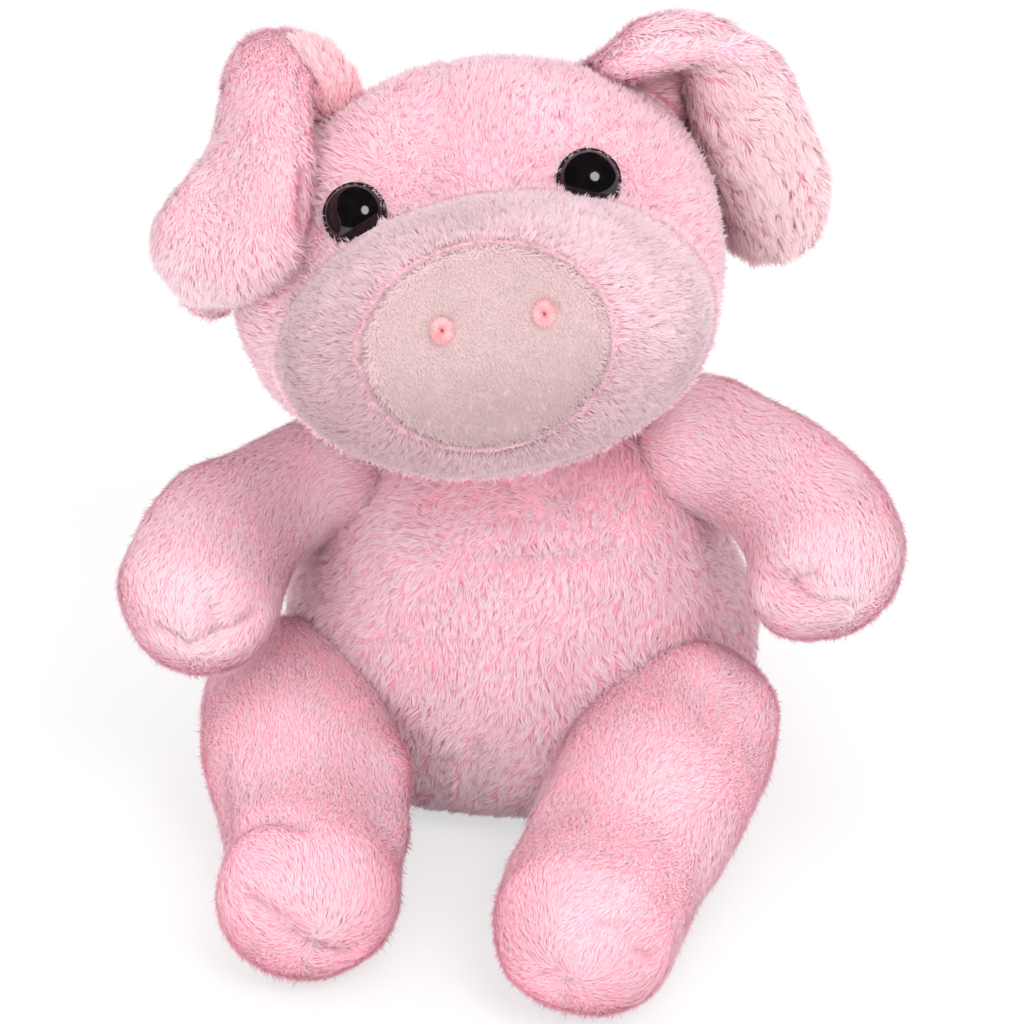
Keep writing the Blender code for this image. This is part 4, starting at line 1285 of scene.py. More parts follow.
    def build_pad(self) -> None:
        """The snout pad's skin and its very short pile, which leaves the nostrils bare."""
        skin, place = self.pad_skin()
        self.shop.finish(skin.placed(self.place).object("snout_pad_skin"), "snout_pile", "head",
                         ["snout_backing"], ["snout_pad"], fill=0.6)
        local = skin.rings
        side, rise = local[..., 0], local[..., 2] + self.snout_drop
        rimward = step_up(place, 0.88, 1.02)[:, None]
        outwards = unit(grid_points(side - self.snout_shift, 0 * side, rise))
        comb = swayed(np.array([0.3, 0.0, -1.0]), local, 0.25, 8 * MM, 41) + 2 * rimward[..., None] * outwards
        length = mottled(local, 1, 0.1, 4 * MM, 42) * (1 + 1.5 * rimward)
        for way in Side:
            gap = np.hypot(side - way.value * self.nostril_spacing, rise - self.nostril_rise)
            length = length * step_up(gap, 2.3 * MM, 3.2 * MM)
        # Painted shade: the pad's pile is deeper on its lower half. Painted light: it is paler at the rim,
        # against the shadow in the seam's groove.
        low = step_up(-rise, -2 * MM, 15 * MM)
        tone = mottled(local, 0.56, 0.03, 9 * MM, 43) - 0.52 * low + 0.2 * rimward
        bed = self.bed(skin, comb, length, tone)
        self.shop.pile("snout_pad_pile", self.pad_pile, bed, self.pad_fibres, 131, "snout_pile", "head")


@dataclass
class Eye:
    """A moulded eye: a dome on a narrow lip, seated in the plush."""

    shop: Workshop
    head: Head
    side: Side
    spacing: float
    rise: float
    radius: float = 6.0 * MM
    height: float = 4.2 * MM
    lip: float = 0.55 * MM
    sink: float = 0.9 * MM
    base: float = 0.5 * MM
    behind: float = 0.5 * MM
    around: int = 96
    dome_rings: int = 40

    def profile(self) -> tuple[Array, Array]:
        """Draws the dome, a quarter ellipse, and after it the lip.

        Returns:
            The rings' radii, and their heights.
        """
        dome = self.radius - self.lip
        angle = np.radians(np.linspace(2, 90, self.dome_rings))
        lip_radii = [dome + 0.05 * MM, dome + 0.2 * MM, self.radius - 0.12 * MM, self.radius, self.radius,
                     self.radius - 0.3 * MM]
        lip_heights = np.array([0.42, 0.62, 0.6, 0.4, -0.3, -0.5]) * MM
        radii = np.concatenate([dome * np.sin(angle), lip_radii])
        heights = np.concatenate([self.base + (self.height - self.base) * np.cos(angle), lip_heights])
        return radii, heights

    def build(self) -> None:
        """Turns the profile about the way the face points there."""
        at, out = self.head.point(self.side.value * self.spacing, self.rise)
        at = at - out * self.sink
        radii, heights = self.profile()
        middles = at + heights[:, None] * out
        rings = circles(middles, np.broadcast_to(out, middles.shape), radii, self.around, (0, 0, 1))
        skin = Skin(rings, at + out * self.height, at - out * self.behind).placed(self.head.place)
        word = self.side.word
        eye = skin.object(f"eye_dome_{word}")
        self.shop.finish(eye, "eye_black", "head", ["eye_black", "eye_rim"], [f"eye_{word}"])
        rows = len(radii)
        ring = np.minimum(np.arange(len(eye.data.polygons)) // self.around, rows)
        slot = ((ring >= self.dome_rings) & (ring < rows - 1)).astype(np.int32)
        eye.data.polygons.foreach_set("material_index", slot)


@dataclass
class Nostril:
    """A satin-stitched ring round a dimple."""

    shop: Workshop
    head: Head
    side: Side
    middle_radius: float = 1.20 * MM
    thread_radius: float = 1.20 * MM
    proud: float = 0.35 * MM
    stitches: int = 17
    stitch_relief: float = 0.22
    squash: Place = (0.92, 0.75, 1.06)
    around: int = 228
    section: int = 18

    def build(self) -> None:
        """A ring whose thickness rises and falls with each stitch: by the root of the sine's size."""
        head = self.head
        aside = self.side.value * head.nostril_spacing
        off = math.hypot((aside - head.snout_shift) / head.snout_half_width,
                         head.nostril_rise / head.snout_half_height)
        front = head.muzzle_front + head.snout_crown * (1 - off**2) + self.proud
        at = np.array([aside, -front, head.nostril_rise - head.snout_drop])
        angle, turn = turns(self.around)[:, None], turns(self.section)
        stitch = np.sqrt(np.abs(np.sin(angle * self.stitches / 2)))
        thick = self.thread_radius * (1 - self.stitch_relief + self.stitch_relief * stitch)
        reach = self.middle_radius + thick * np.cos(turn)
        ring = grid_points(reach * np.cos(angle), -thick * np.sin(turn), reach * np.sin(angle))
        index = np.arange(self.around * self.section).reshape(self.around, self.section)
        ahead, over = np.roll(index, -1, axis=0), np.roll(index, -1, axis=1)
        quads = np.stack([index, over, np.roll(ahead, -1, axis=1), ahead], axis=-1).reshape(-1, 4)
        places = carried(at + (ring * self.squash).reshape(-1, 3), head.place)
        word = self.side.word
        made = write_mesh(f"nostril_stitch_{word}", places, quads, NO_TRIS)
        self.shop.finish(made, "satin_stitch", "head", ["satin_stitch"], [f"nostril_{word}"])


@dataclass(frozen=True)
class Puff:
    """A soft swelling of one ear layer.

    Attributes:
        layer: Which layer.
        depth: How far it swells at its middle, in metres.
        row: Its middle's share of the ear's length.
        high: How far it reaches along the ear, as a share.
        column: Its middle's place across the ear, from -1 to 1.
        wide: How far it reaches across.
    """

    layer: Layer
    depth: float
    row: float
    high: float
    column: float = 0.0
    wide: float = 3.0

    def over(self, rows: int, across: int) -> Array:
        """The swelling at every point of a grid of the ear."""
        length, place = np.linspace(0, 1, rows)[:, None], np.linspace(-1, 1, across)
        return self.depth * bump(length, self.row, self.high) * bump(place, self.column, self.wide)


@dataclass
class Ear:
    """A floppy ear: an outer layer of plush and a lining, sewn together round a curved sheet.

    Attributes:
        root_angles: Where its root starts and ends round the head, in degrees.
        shares: The sheet's points (side, forward, up) from the root's middle, as shares of the span.
        edge_fat: The rolled edge's thickness at the edge stops, as shares of the roll.
    """

    shop: Workshop
    head: Head
    side: Side
    root_angles: tuple[float, float]
    shares: tuple[tuple[Place, ...], ...]
    span: float = 65 * MM
    stand_off: float = 2.75 * MM
    bury: float = 1.5 * MM
    root_depth: float = 1.0 * MM
    root_rows: float = 6.5
    thickness: float = 1.4 * MM
    half_gap: float = 0.15 * MM
    rim_power: int = 4
    tip_power: int = 12
    roll: float = 2.6 * MM
    roll_back: float = 0.35
    roll_in: float = 0.45
    puffs: tuple[Puff, ...] = ()
    edge_stops: ClassVar[tuple[float, ...]] = (0, 0.06, 0.25, 0.40, 0.55, 1)
    edge_fat: tuple[float, ...] = (0.9, 1.0, 0.97, 0.95, 0.65, 0.4)
    edge_tone: float = 0.72
    outer_tone: float = 0.78
    # The outer pile is deeper beside the rolled edge: partly its own pinker colour, partly painted shade.
    outer_shade: float = 0.0
    lining_tone: float = 0.98
    # Painted shade: the lining's pile is deeper near the root, in the hollow there.
    lining_root_painted_shade: float = 0.7
    rows: int = 60
    across: int = 36
    edge_rings: int = 150
    edge_around: int = 20
    edge_window: int = 9
    layer_fibres: int = 30000
    edge_fibres: int = 16000
    outer_pile: Pile = Pile(length=3.2 * MM)
    lining_pile: Pile = Pile(length=4.2 * MM, tuft=2.0 * MM, gather=0.5, sway=0.25, gap_tone=0.25)
    edge_pile: Pile = Pile(length=2.9 * MM, gather=0.4, sway=0.2)

    @property
    def body(self) -> str:
        """The body that the ear moves with."""
        return f"ear_{self.side.word}"

    def clear(self, points: Array) -> Array:
        """Moves points outwards in their own rings until they clear the head's skin.

        Args:
            points: Places about the head's middle.

        Returns:
            The moved places.
        """
        x, y, z = (points[..., k] for k in range(3))
        width, high, middle = self.head.section(np.clip(-y, -self.head.back_depth * 0.5, None))
        reach = np.hypot(x / (width + self.stand_off), (z - middle) / (high + self.stand_off))
        grow = np.where(reach < 1, 1 / np.maximum(reach, 0.5), 1.0)
        return np.stack([x * grow, y, middle + (z - middle) * grow], axis=-1)

    def sheet(self) -> Array:
        """Eases the sheet through its rows of shares, both ways, from a root that is buried in the head.

        Returns:
            A grid of points about the head's middle, root row first.
        """
        angles = np.radians(np.linspace(*self.root_angles, len(self.shares[0])))
        width, high, middle = (float(value[0]) for value in self.head.section(np.array([self.root_depth])))
        side = self.side.value
        root = grid_points(
            side * (width - self.bury) * np.cos(angles),
            np.array(-self.root_depth),
            middle + (high - self.bury) * np.sin(angles),
        )
        spans = np.array([self.span * side, -self.span, self.span])
        rows = self.clear(root[len(root) // 2] + np.asarray(self.shares, float) * spans)
        lengthwise = smooth(np.concatenate([[root], rows]), np.linspace(0, 1, self.rows))
        grid = smooth(lengthwise.transpose(1, 0, 2), np.linspace(0, 1, self.across)).transpose(1, 0, 2)
        rooted = round(self.rows / self.root_rows)
        grid[rooted:] = self.clear(grid[rooted:])
        return grid

    def build(self) -> None:
        """Builds both layers as flat pads with rounded rims, and their piles."""
        grid = self.sheet()
        out = unit(np.cross(np.gradient(grid, axis=0), np.gradient(grid, axis=1))) * self.side.value
        rim = np.abs(np.linspace(-1, 1, self.across))
        body = np.sqrt(np.clip(1 - rim**self.rim_power, 0, 1))
        tip = np.sqrt(np.clip(1 - np.linspace(0, 1, self.rows) ** self.tip_power, 0, 1))
        thick = self.thickness * tip[:, None] * body
        for layer, slot in ((Layer.OUTER, "pink_plush"), (Layer.LINING, "ear_lining")):
            way = out * layer.value
            near = grid + way * self.half_gap
            puffs = (puff.over(self.rows, self.across) for puff in self.puffs if puff.layer is layer)
            far = near + way * sum(puffs, thick)[..., None]
            rings = np.concatenate([far, near[:, -2:0:-1]], axis=1)
            skin = Skin(rings, rings[0].mean(axis=0), rings[-1].mean(axis=0)).placed(self.head.place)
            made = skin.object(f"ear_{layer.word}_skin_{self.side.word}")
            node = f"ear_{layer.word}_{self.side.word}"
            self.shop.finish(made, slot, self.body, ["plush_backing"], [node])
            self.grow(layer, slot, far, way)
        self.build_edge(grid, out)

    @staticmethod
    def round_edge(grid: Array, skip: int = 3) -> Array:
        """Walks round a grid's free edge: down its first side, along the tip and back up its last side.

        Args:
            grid: Numbers on the sheet.
            skip: How many rows at the root are left out.

        Returns:
            The numbers along the edge.
        """
        return np.concatenate([grid[skip:, 0], grid[-1, 1:-1], grid[:skip:-1, -1]])

    def build_edge(self, grid: Array, out: Array) -> None:
        """Rolls the soft edge: outer plush turned over the seam, fat at its start and thin at its end.

        Args:
            grid: The sheet's points.
            out: The sheet's outward directions.
        """
        along = unit(np.gradient(grid, axis=0))
        route = np.concatenate([self.round_edge(kind) for kind in (grid, out, along)], axis=1)
        line, beside, comb = np.split(evenly(route, self.edge_rings), 3, axis=1)
        middle = grid[:, self.across // 2].mean(axis=0)
        line = softened(line, self.edge_window)
        line = line - beside * self.roll * self.roll_back + unit(middle - line) * self.roll * self.roll_in
        share = np.linspace(0, 1, len(line))
        fat = np.interp(share, self.edge_stops, self.edge_fat)
        ends = np.sqrt(np.clip(1 - (2 * share - 1) ** 20, 0.03, 1))
        skin = tube(line, self.roll * fat * ends, self.edge_around, beside).placed(self.head.place)
        word = self.side.word
        self.shop.finish(skin.object(f"ear_edge_skin_{word}"), "pink_plush", self.body, ["plush_backing"])
        heading = np.broadcast_to((comb @ self.head.place[:3, :3].T)[:, None], skin.rings.shape)
        heading = swayed(heading, skin.rings, 0.35, 10 * MM, 57)
        tone = mottled(skin.rings, self.edge_tone, 0.1, 9 * MM, 58)
        bed = Bed(skin.rings, skin.normals(), heading, np.ones(skin.rings.shape[:2]), tone)
        name, seed = f"ear_edge_pile_{word}", 161 + self.side.value
        self.shop.pile(name, self.edge_pile, bed, self.edge_fibres, seed, "pink_plush", self.body)

    def grow(self, layer: Layer, slot: str, far: Array, out: Array) -> None:
        """Grows a layer's pile, combed to the tip and outwards over the rim.

        Args:
            layer: Which layer.
            slot: Its material slot.
            far: The layer's outer points, about the head's middle.
            out: Its outward directions.
        """
        way = layer.value
        along = unit(np.gradient(far, axis=0))
        across = unit(np.gradient(far, axis=1))
        place = np.linspace(-1, 1, self.across)
        length = np.linspace(0, 1, self.rows)
        fan = np.sign(place) * np.abs(place) ** 3
        comb = swayed(along + 0.6 * fan[:, None] * across, far, 0.35, 12 * MM, 51 + way)
        tilt = step_up(np.abs(place), 0.8, 1.0)[:, None] * np.sign(place)[:, None]
        tip = step_up(length, 0.92, 1.0)[:, None, None]
        normals = unit(out + 2.2 * tilt * across + 1.5 * tip * along)
        share = mottled(far, 1, 0.15, 9 * MM, 52 + way)
        # Deeper tones: beside the outer layer's rolled edge, partly pinker colour and partly painted shade;
        # on the lining near the root, painted shade in its hollow.
        if layer is Layer.OUTER:
            pile, tone = self.outer_pile, self.outer_tone
            shade = self.outer_shade * bump(place, -1.0, 0.9)
        else:
            pile, tone = self.lining_pile, self.lining_tone
            shade = self.lining_root_painted_shade * bump(length, 0, 0.26)[:, None]
        tone = mottled(far, tone, 0.10, 12 * MM, 53 + way) - shade
        turn = self.head.place[:3, :3].T
        bed = Bed(carried(far, self.head.place), normals @ turn, comb @ turn, share, tone, wraps=False)
        name = f"ear_{layer.word}_pile_{self.side.word}"
        seed = 141 + way + 10 * self.side.value
        self.shop.pile(name, pile, bed, self.layer_fibres, seed, slot, self.body)


@dataclass
class Limb:
    """A stuffed limb: half a ball at the root, rings along its path and a rounded, tucked end."""

    shop: Workshop
    side: Side
    folds: tuple[Fold, ...] = ()
    around: int = 96
    rows: int = 60
    end_rows: int = 26
    end_angles: tuple[float, float] = (6.0, 86.0)
    root_rows: int = 22
    root_angles: tuple[float, float] = (172.0, 95.0)
    pile_room: float = 1.9 * MM
    tone: float = 0.86
    # Painted shade: the pile is deeper towards the limb's end, from these shares of its rings.
    end_painted_shade: float = 0.0
    painted_shade_from: tuple[float, float] = (0.72, 0.84)
    kind: ClassVar[str]
    fibres: ClassVar[int]
    pile: ClassVar[Pile] = Pile(length=3.3 * MM, gather=0.16, sway=0.10, relief=0.10, tone_spread=0.06,
                                gap_tone=0.04, rise=33.0, lay=6.0, upright=0.05)

    @property
    def place(self) -> Array:
        """The limb's own axes in the row frame."""
        raise NotImplementedError

    def path(self, share: Array) -> tuple[Array, Array, Array]:
        """Draws the line that the limb follows.

        Args:
            share: Shares of the path from 0 to 1.

        Returns:
            Middles, directions and radii at the shares.
        """
        raise NotImplementedError

    def end_length(self) -> float:
        """How far the rounded end reaches past the path."""
        raise NotImplementedError

    def form(self) -> Skin:
        """Circles across the path; before it a half ball, after it half an ellipsoid.

        Returns:
            The form before its pile, in the limb's own axes.
        """
        start, first, root = (value[0] for value in self.path(np.zeros(1)))
        end, last, blunt = (value[0] for value in self.path(np.ones(1)))
        root_angle = np.radians(np.linspace(*self.root_angles, self.root_rows))
        end_angle = np.radians(np.linspace(*self.end_angles, self.end_rows))
        middles, headings, radii = self.path(np.linspace(0, 1, self.rows))
        before = start + first * root * np.cos(root_angle)[:, None]
        after = end + last * self.end_length() * np.sin(end_angle)[:, None]
        middles = np.concatenate([before, middles, after])
        firsts, lasts = np.tile(first, (self.root_rows, 1)), np.tile(last, (self.end_rows, 1))
        headings = np.concatenate([firsts, headings, lasts])
        radii = np.concatenate([root * np.sin(root_angle), radii, blunt * np.cos(end_angle)])
        rings = circles(middles, headings, radii, self.around, (0, 0, 1))
        return Skin(rings, start - first * root, end + last * self.end_length())

    def build(self) -> None:
        """Builds the limb's skin and pile."""
        form = self.form().placed(self.place)
        skin = form.pushed(-self.pile_room - folded_depth(self.folds, form.rings))
        side, word = self.side.value, self.side.word
        body = f"{self.kind}_{word}"
        nodes = [f"{self.kind}_cover_{word}", f"{self.kind}_fill_{word}"]
        made = skin.object(f"{self.kind}_skin_{word}")
        self.shop.finish(made, "pink_plush", body, ["plush_backing"], nodes, fill=0.8)
        points = skin.rings
        comb = swayed(unit(np.gradient(points, axis=0)), points, 0.35, 22 * MM, 61 + side)
        along = np.arange(len(points))[:, None] / len(points)
        share = step_up(along, 0.0, 0.03) * mottled(points, 1, 0.12, 12 * MM, 62)
        tone = mottled(points, self.tone, 0.08, 16 * MM, 63 + side)
        # Painted shade: deeper towards the limb's end.
        tone = tone - self.end_painted_shade * step_up(along, *self.painted_shade_from)
        bed = Bed(points, skin.normals(), comb, share, tone).folded(self.folds)
        name = f"{self.kind}_pile_{word}"
        self.shop.pile(name, self.pile, bed, self.fibres, 151 + side, "pink_plush", body)


@dataclass
class Arm(Limb):
    """An arm: out from the shoulder, then bending forward to the paw."""

    shoulder_height: float = 68.5 * MM
    shoulder_side: float = 1.0 * MM
    shoulder_span: float = 36.5 * MM
    shoulder_roll: float = 4.0
    root_radius: float = 14.5 * MM
    paw_radius: float = 16.5 * MM
    reach_out: float = 24 * MM
    reach_forward: float = 30 * MM
    drop: float = 9 * MM
    elbow_shares: Place = (0.85, 0.20, 0.30)
    swell_shares: tuple[float, ...] = (0.0, 0.20, 0.55, 0.85, 1.0)
    kind: ClassVar[str] = "arm"
    fibres: ClassVar[int] = 62000

    @property
    def place(self) -> Array:
        """The shoulder's axes in the row frame."""
        level = shift(self.shoulder_side, 0, self.shoulder_height) @ turn_about("Y", -self.shoulder_roll)
        return level @ shift(self.side.value * self.shoulder_span, 0, 0)

    def end_length(self) -> float:
        """The paw ends in half a ball."""
        return self.paw_radius

    def path(self, share: Array) -> tuple[Array, Array, Array]:
        """Draws a quadratic Bezier from the shoulder by the elbow to the paw, with radii by the swell shares.

        Args:
            share: Shares of the path from 0 to 1.

        Returns:
            Middles, directions and radii at the shares.
        """
        out, forward, down = self.elbow_shares
        side = self.side.value
        elbow = np.array([side * self.reach_out * out, -self.reach_forward * forward, -self.drop * down])
        paw = np.array([side * self.reach_out, -self.reach_forward, -self.drop])
        share = share[:, None]
        middles = 2 * share * (1 - share) * elbow + share**2 * paw
        headings = unit(2 * (1 - 2 * share) * elbow + 2 * share * paw)
        swell = smooth(self.swell_shares, share[:, 0])
        return middles, headings, self.root_radius + (self.paw_radius - self.root_radius) * swell


@dataclass
class Leg(Limb):
    """A leg: forward along the floor, narrowest at the ankle."""

    hip_yaw: float = -10.0
    hip_span: float = 37.5 * MM
    hip_forward: float = 26 * MM
    toe_in: float = 10.0
    root_radius: float = 20.8 * MM
    ankle_radius: float = 18.2 * MM
    foot_radius: float = 18.8 * MM
    length: float = 71 * MM
    foot_rounding: float = 14 * MM
    seat: float = 0.5 * MM
    # Painted shade: the foot's end is deeper.
    end_painted_shade: float = 0.3
    kind: ClassVar[str] = "leg"
    fibres: ClassVar[int] = 81000

    @property
    def place(self) -> Array:
        """Stands the leg at its hip, turned in at the toes.

        Returns:
            The hip's axes in the row frame.
        """
        side = self.side.value
        hip = shift(side * self.hip_span, -self.hip_forward, self.root_radius - self.seat)
        return turn_about("Z", self.hip_yaw) @ hip @ turn_about("Z", -side * self.toe_in)

    def end_length(self) -> float:
        """How far the foot's rounded end reaches."""
        return self.foot_rounding

    def path(self, share: Array) -> tuple[Array, Array, Array]:
        """Draws a straight line whose middle keeps the underside on the floor as the radius changes.

        Args:
            share: Shares of the path from 0 to 1.

        Returns:
            Middles, directions and radii at the shares.
        """
        radii = smooth((self.root_radius, self.root_radius, self.ankle_radius, self.foot_radius), share)
        run = self.length - self.foot_rounding
        middles = np.stack([0 * share, -run * share, radii - self.root_radius], axis=-1)
        headings = np.tile([0.0, -1.0, 0.0], (len(share), 1))
        return middles, headings, radii


@dataclass
class Tail:
    """A short stem and a bit over one curl of stuffed plush cord."""

    shop: Workshop
    root: Place = (0.899 * MM, 40.197 * MM, 30 * MM)
    radius: float = 3.0 * MM
    pile_room: float = 0.9 * MM
    curl_radius: float = 6.0 * MM
    curl_pitch: float = 7.5 * MM
    turns_made: float = 1.2
    stem: float = 9 * MM
    bury: float = 1.5 * MM
    stem_rings: int = 14
    curl_rings: int = 60
    window: int = 7
    around: int = 24
    fibres: int = 11000
    pile: Pile = Pile(length=2.6 * MM, width=0.16 * MM, tuft=1.6 * MM, rise=55.0, lay=22.0)

    def path(self) -> Array:
        """Draws the middle line: straight back, then round a helix, with the corner between them rounded.

        Returns:
            The line's points in the row frame.
        """
        still = np.array(0.0)
        stem = grid_points(still, np.linspace(-self.bury, self.stem, self.stem_rings), still)
        share = np.linspace(0, 1, self.curl_rings)[1:]
        angle = 2 * np.pi * self.turns_made * share
        curl = grid_points(
            self.curl_radius * np.sin(angle),
            self.stem + self.curl_pitch * self.turns_made * share,
            self.curl_radius * (1 - np.cos(angle)),
        )
        return softened(np.concatenate([stem, curl]), self.window) + self.root

    def build(self) -> None:
        """Builds the tail's skin round its path, and its pile."""
        middles = self.path()
        blunt = np.sqrt(np.clip(1 - np.linspace(0, 1, len(middles)) ** 10, 0.02, 1))
        skin = tube(middles, (self.radius - self.pile_room) * blunt, self.around, (0.15, 0.1, 1))
        made = skin.object("tail_skin")
        self.shop.finish(made, "pink_plush", "tail_body", ["plush_backing"], ["tail"], fill=0.9)
        points = skin.rings
        comb = swayed(unit(np.gradient(points, axis=0)), points, 0.3, 9 * MM, 71)
        tone = mottled(points, 0.5, 0.1, 8 * MM, 72)
        bed = Bed(points, skin.normals(), comb, np.ones(points.shape[:2]), tone)
        self.shop.pile("tail_pile", self.pile, bed, self.fibres, 171, "pink_plush", "tail_body")


# The set


@dataclass(frozen=True)
class Lamp:
    """A round soft lamp.

    Attributes:
        name: The lamp's name.
        place: Where it stands, in metres.
        size: Its diameter.
        power: In watts.
        mirrored: Whether glossy pieces mirror it.
    """

    name: str
    place: Place
    size: float
    power: float
    mirrored: bool = False


@dataclass
class Studio:
    """The plain floor, the soft lamps, the world and the camera at the photograph's angle."""

    elevation: float = 32.0
    distance: float = 0.8
    lens: float = 143.4
    sensor: float = 36.0
    near_clip: float = 0.01
    aim: Place = (1 * MM, -10 * MM, 62 * MM)
    floor_half: float = 3.0
    floor_grey: float = 0.86
    floor_roughness: float = 0.9
    floor_whitening: float = 0.6
    mirrored_sky: float = 0.05
    lamps: tuple[Lamp, ...] = (
        Lamp("key", (0.40, -0.72, 1.00), 0.50, 5.1, mirrored=True),
        Lamp("fill", (-0.50, -0.92, 0.34), 0.6, 3.5),
        Lamp("top", (0.1, -0.1, 1.1), 0.6, 2.0),
    )

    def build(self) -> None:
        """Builds the whole set."""
        self.build_floor()
        self.build_world()
        self.build_camera()
        for lamp in self.lamps:
            self.add_lamp(lamp)

    def add_lamp(self, lamp: Lamp) -> None:
        """Sets up a round soft lamp that faces the pig.

        Args:
            lamp: The lamp.
        """
        light = bpy.data.lights.new(lamp.name, "AREA")
        light.energy = lamp.power
        light.shape = "DISK"
        light.size = lamp.size
        made = bpy.data.objects.new(lamp.name, light)
        bpy.context.scene.collection.objects.link(made)
        made.location = lamp.place
        made.visible_glossy = lamp.mirrored
        made.rotation_euler = (Vector(self.aim) - Vector(lamp.place)).to_track_quat("-Z", "Y").to_euler()

    def build_floor(self) -> None:
        """A plain pale plane; the camera sees it nearly white, with the pig's shadow."""
        half = self.floor_half
        corners = np.array([(-half, -half, 0), (half, -half, 0), (half, half, 0), (-half, half, 0)])
        floor = write_mesh("floor", corners, np.array([[0, 1, 2, 3]]), NO_TRIS)
        made, tree, shader = Finish("floor_paper").start()
        grey = self.floor_grey
        shader.inputs["Base Color"].default_value = (grey, grey, grey, 1)
        shader.inputs["Roughness"].default_value = self.floor_roughness
        white = tree.nodes.new("ShaderNodeEmission")
        seen = tree.nodes.new("ShaderNodeLightPath")
        part = tree.nodes.new("ShaderNodeMath")
        part.operation = "MULTIPLY"
        part.inputs[1].default_value = self.floor_whitening
        tree.links.new(seen.outputs["Is Camera Ray"], part.inputs[0])
        both = self.blended(tree, part.outputs[0], shader.outputs["BSDF"], white.outputs["Emission"])
        tree.links.new(both, tree.nodes["Material Output"].inputs["Surface"])
        floor.data.materials.append(made)

    def build_world(self) -> None:
        """A soft even sky for light, plain white where the camera sees it and dim where gloss mirrors it."""
        world = bpy.data.worlds.new("studio")
        bpy.context.scene.world = world
        world.use_nodes = True
        tree = world.node_tree
        sky = tree.nodes["Background"]
        sky.inputs["Color"].default_value = (1, 1, 1, 1)
        sky.inputs["Strength"].default_value = 1.0
        white = tree.nodes.new("ShaderNodeBackground")
        white.inputs["Strength"].default_value = 1.0
        dim = tree.nodes.new("ShaderNodeBackground")
        dim.inputs["Strength"].default_value = self.mirrored_sky
        seen = tree.nodes.new("ShaderNodeLightPath")
        lit = self.blended(tree, seen.outputs["Is Camera Ray"], sky.outputs[0], white.outputs[0])
        lit = self.blended(tree, seen.outputs["Is Glossy Ray"], lit, dim.outputs[0])
        tree.links.new(lit, tree.nodes["World Output"].inputs["Surface"])

    @staticmethod
    def blended(tree: bpy.types.NodeTree, share: bpy.types.NodeSocket, first: bpy.types.NodeSocket,
                second: bpy.types.NodeSocket) -> bpy.types.NodeSocket:
        """Adds a mix of two shaders.

        Args:
            tree: The tree.
            share: How much of the second shows.
            first: The first shader.
            second: The second shader.

        Returns:
            The mixed shader.
        """
        both = tree.nodes.new("ShaderNodeMixShader")
        for source, socket in zip((share, first, second), both.inputs):
            tree.links.new(source, socket)
        return both.outputs["Shader"]

    def build_camera(self) -> None:
        """The camera stands in front and looks down at the photograph's angle."""
        data = bpy.data.cameras.new("camera")
        data.lens = self.lens
        data.sensor_width = self.sensor
        data.clip_start = self.near_clip
        camera = bpy.data.objects.new("camera", data)
        bpy.context.scene.collection.objects.link(camera)
        angle = math.radians(self.elevation)
        back = Vector((0, -math.cos(angle), math.sin(angle)))
        camera.location = Vector(self.aim) + back * self.distance
        camera.rotation_euler = (math.pi / 2 - angle, 0, 0)
        bpy.context.scene.camera = camera


# The two sides' own shapes


EAR_SHARES = {
    Side.LEFT: (
        ((-0.132, 0.031, 0.098), (-0.077, 0.062, 0.113), (-0.012, 0.046, 0.112),
         (0.054, -0.031, 0.080), (0.100, -0.077, 0.015)),
        ((-0.060, 0.015, 0.197), (0.000, -0.000, 0.245), (0.078, -0.015, 0.260),
         (0.140, -0.015, 0.224), (0.178, -0.046, 0.153)),
        ((-0.006, 0.169, 0.162), (0.052, 0.154, 0.186), (0.116, 0.123, 0.179),
         (0.177, 0.077, 0.150), (0.220, 0.015, 0.091)),
        ((0.011, 0.292, 0.011), (0.076, 0.277, 0.021), (0.149, 0.231, 0.014),
         (0.223, 0.154, 0.006), (0.270, 0.077, -0.015)),
        ((0.039, 0.385, -0.149), (0.118, 0.385, -0.156), (0.210, 0.323, -0.150),
         (0.319, 0.246, -0.136), (0.367, 0.154, -0.153)),
        ((0.087, 0.415, -0.300), (0.172, 0.415, -0.331), (0.267, 0.385, -0.340),
         (0.377, 0.292, -0.320), (0.427, 0.169, -0.270)),
        ((0.248, 0.169, -0.382), (0.300, 0.138, -0.446), (0.354, 0.108, -0.477),
         (0.414, 0.077, -0.455), (0.442, 0.046, -0.394)),
    ),
    Side.RIGHT: (
        ((-0.010, 0.154, 0.119), (0.072, 0.077, 0.174), (0.161, -0.062, 0.076),
         (0.182, -0.138, -0.035), (0.170, -0.185, -0.160)),
        ((0.198, 0.138, 0.128), (0.273, 0.108, 0.130), (0.248, 0.062, -0.041),
         (0.192, -0.015, -0.181), (0.154, -0.246, -0.321)),
        ((0.392, 0.092, 0.029), (0.409, 0.077, -0.073), (0.357, 0.062, -0.205),
         (0.267, 0.015, -0.345), (0.181, -0.215, -0.444)),
        ((0.468, 0.046, -0.248), (0.461, 0.046, -0.334), (0.392, 0.031, -0.406),
         (0.314, -0.000, -0.466), (0.228, -0.123, -0.492)),
        ((0.471, 0.015, -0.432), (0.443, 0.015, -0.504), (0.387, -0.000, -0.525),
         (0.333, -0.015, -0.541), (0.280, -0.062, -0.535)),
    ),
}
EAR_PUFFS = {
    Side.LEFT: (
        Puff(Layer.LINING, 3.5 * MM, row=0.17, high=0.15, column=-0.5, wide=0.6),
        Puff(Layer.OUTER, 4.2 * MM, row=0.79, high=0.10),
        Puff(Layer.OUTER, -1.0 * MM, row=0.92, high=0.05),
    ),
    Side.RIGHT: (Puff(Layer.LINING, 2.5 * MM, row=0.5, high=0.4, column=0.0, wide=0.8),),
}
EYE_PLACES = {Side.LEFT: (22.4 * MM, 12.9 * MM), Side.RIGHT: (21.2 * MM, 12.1 * MM)}
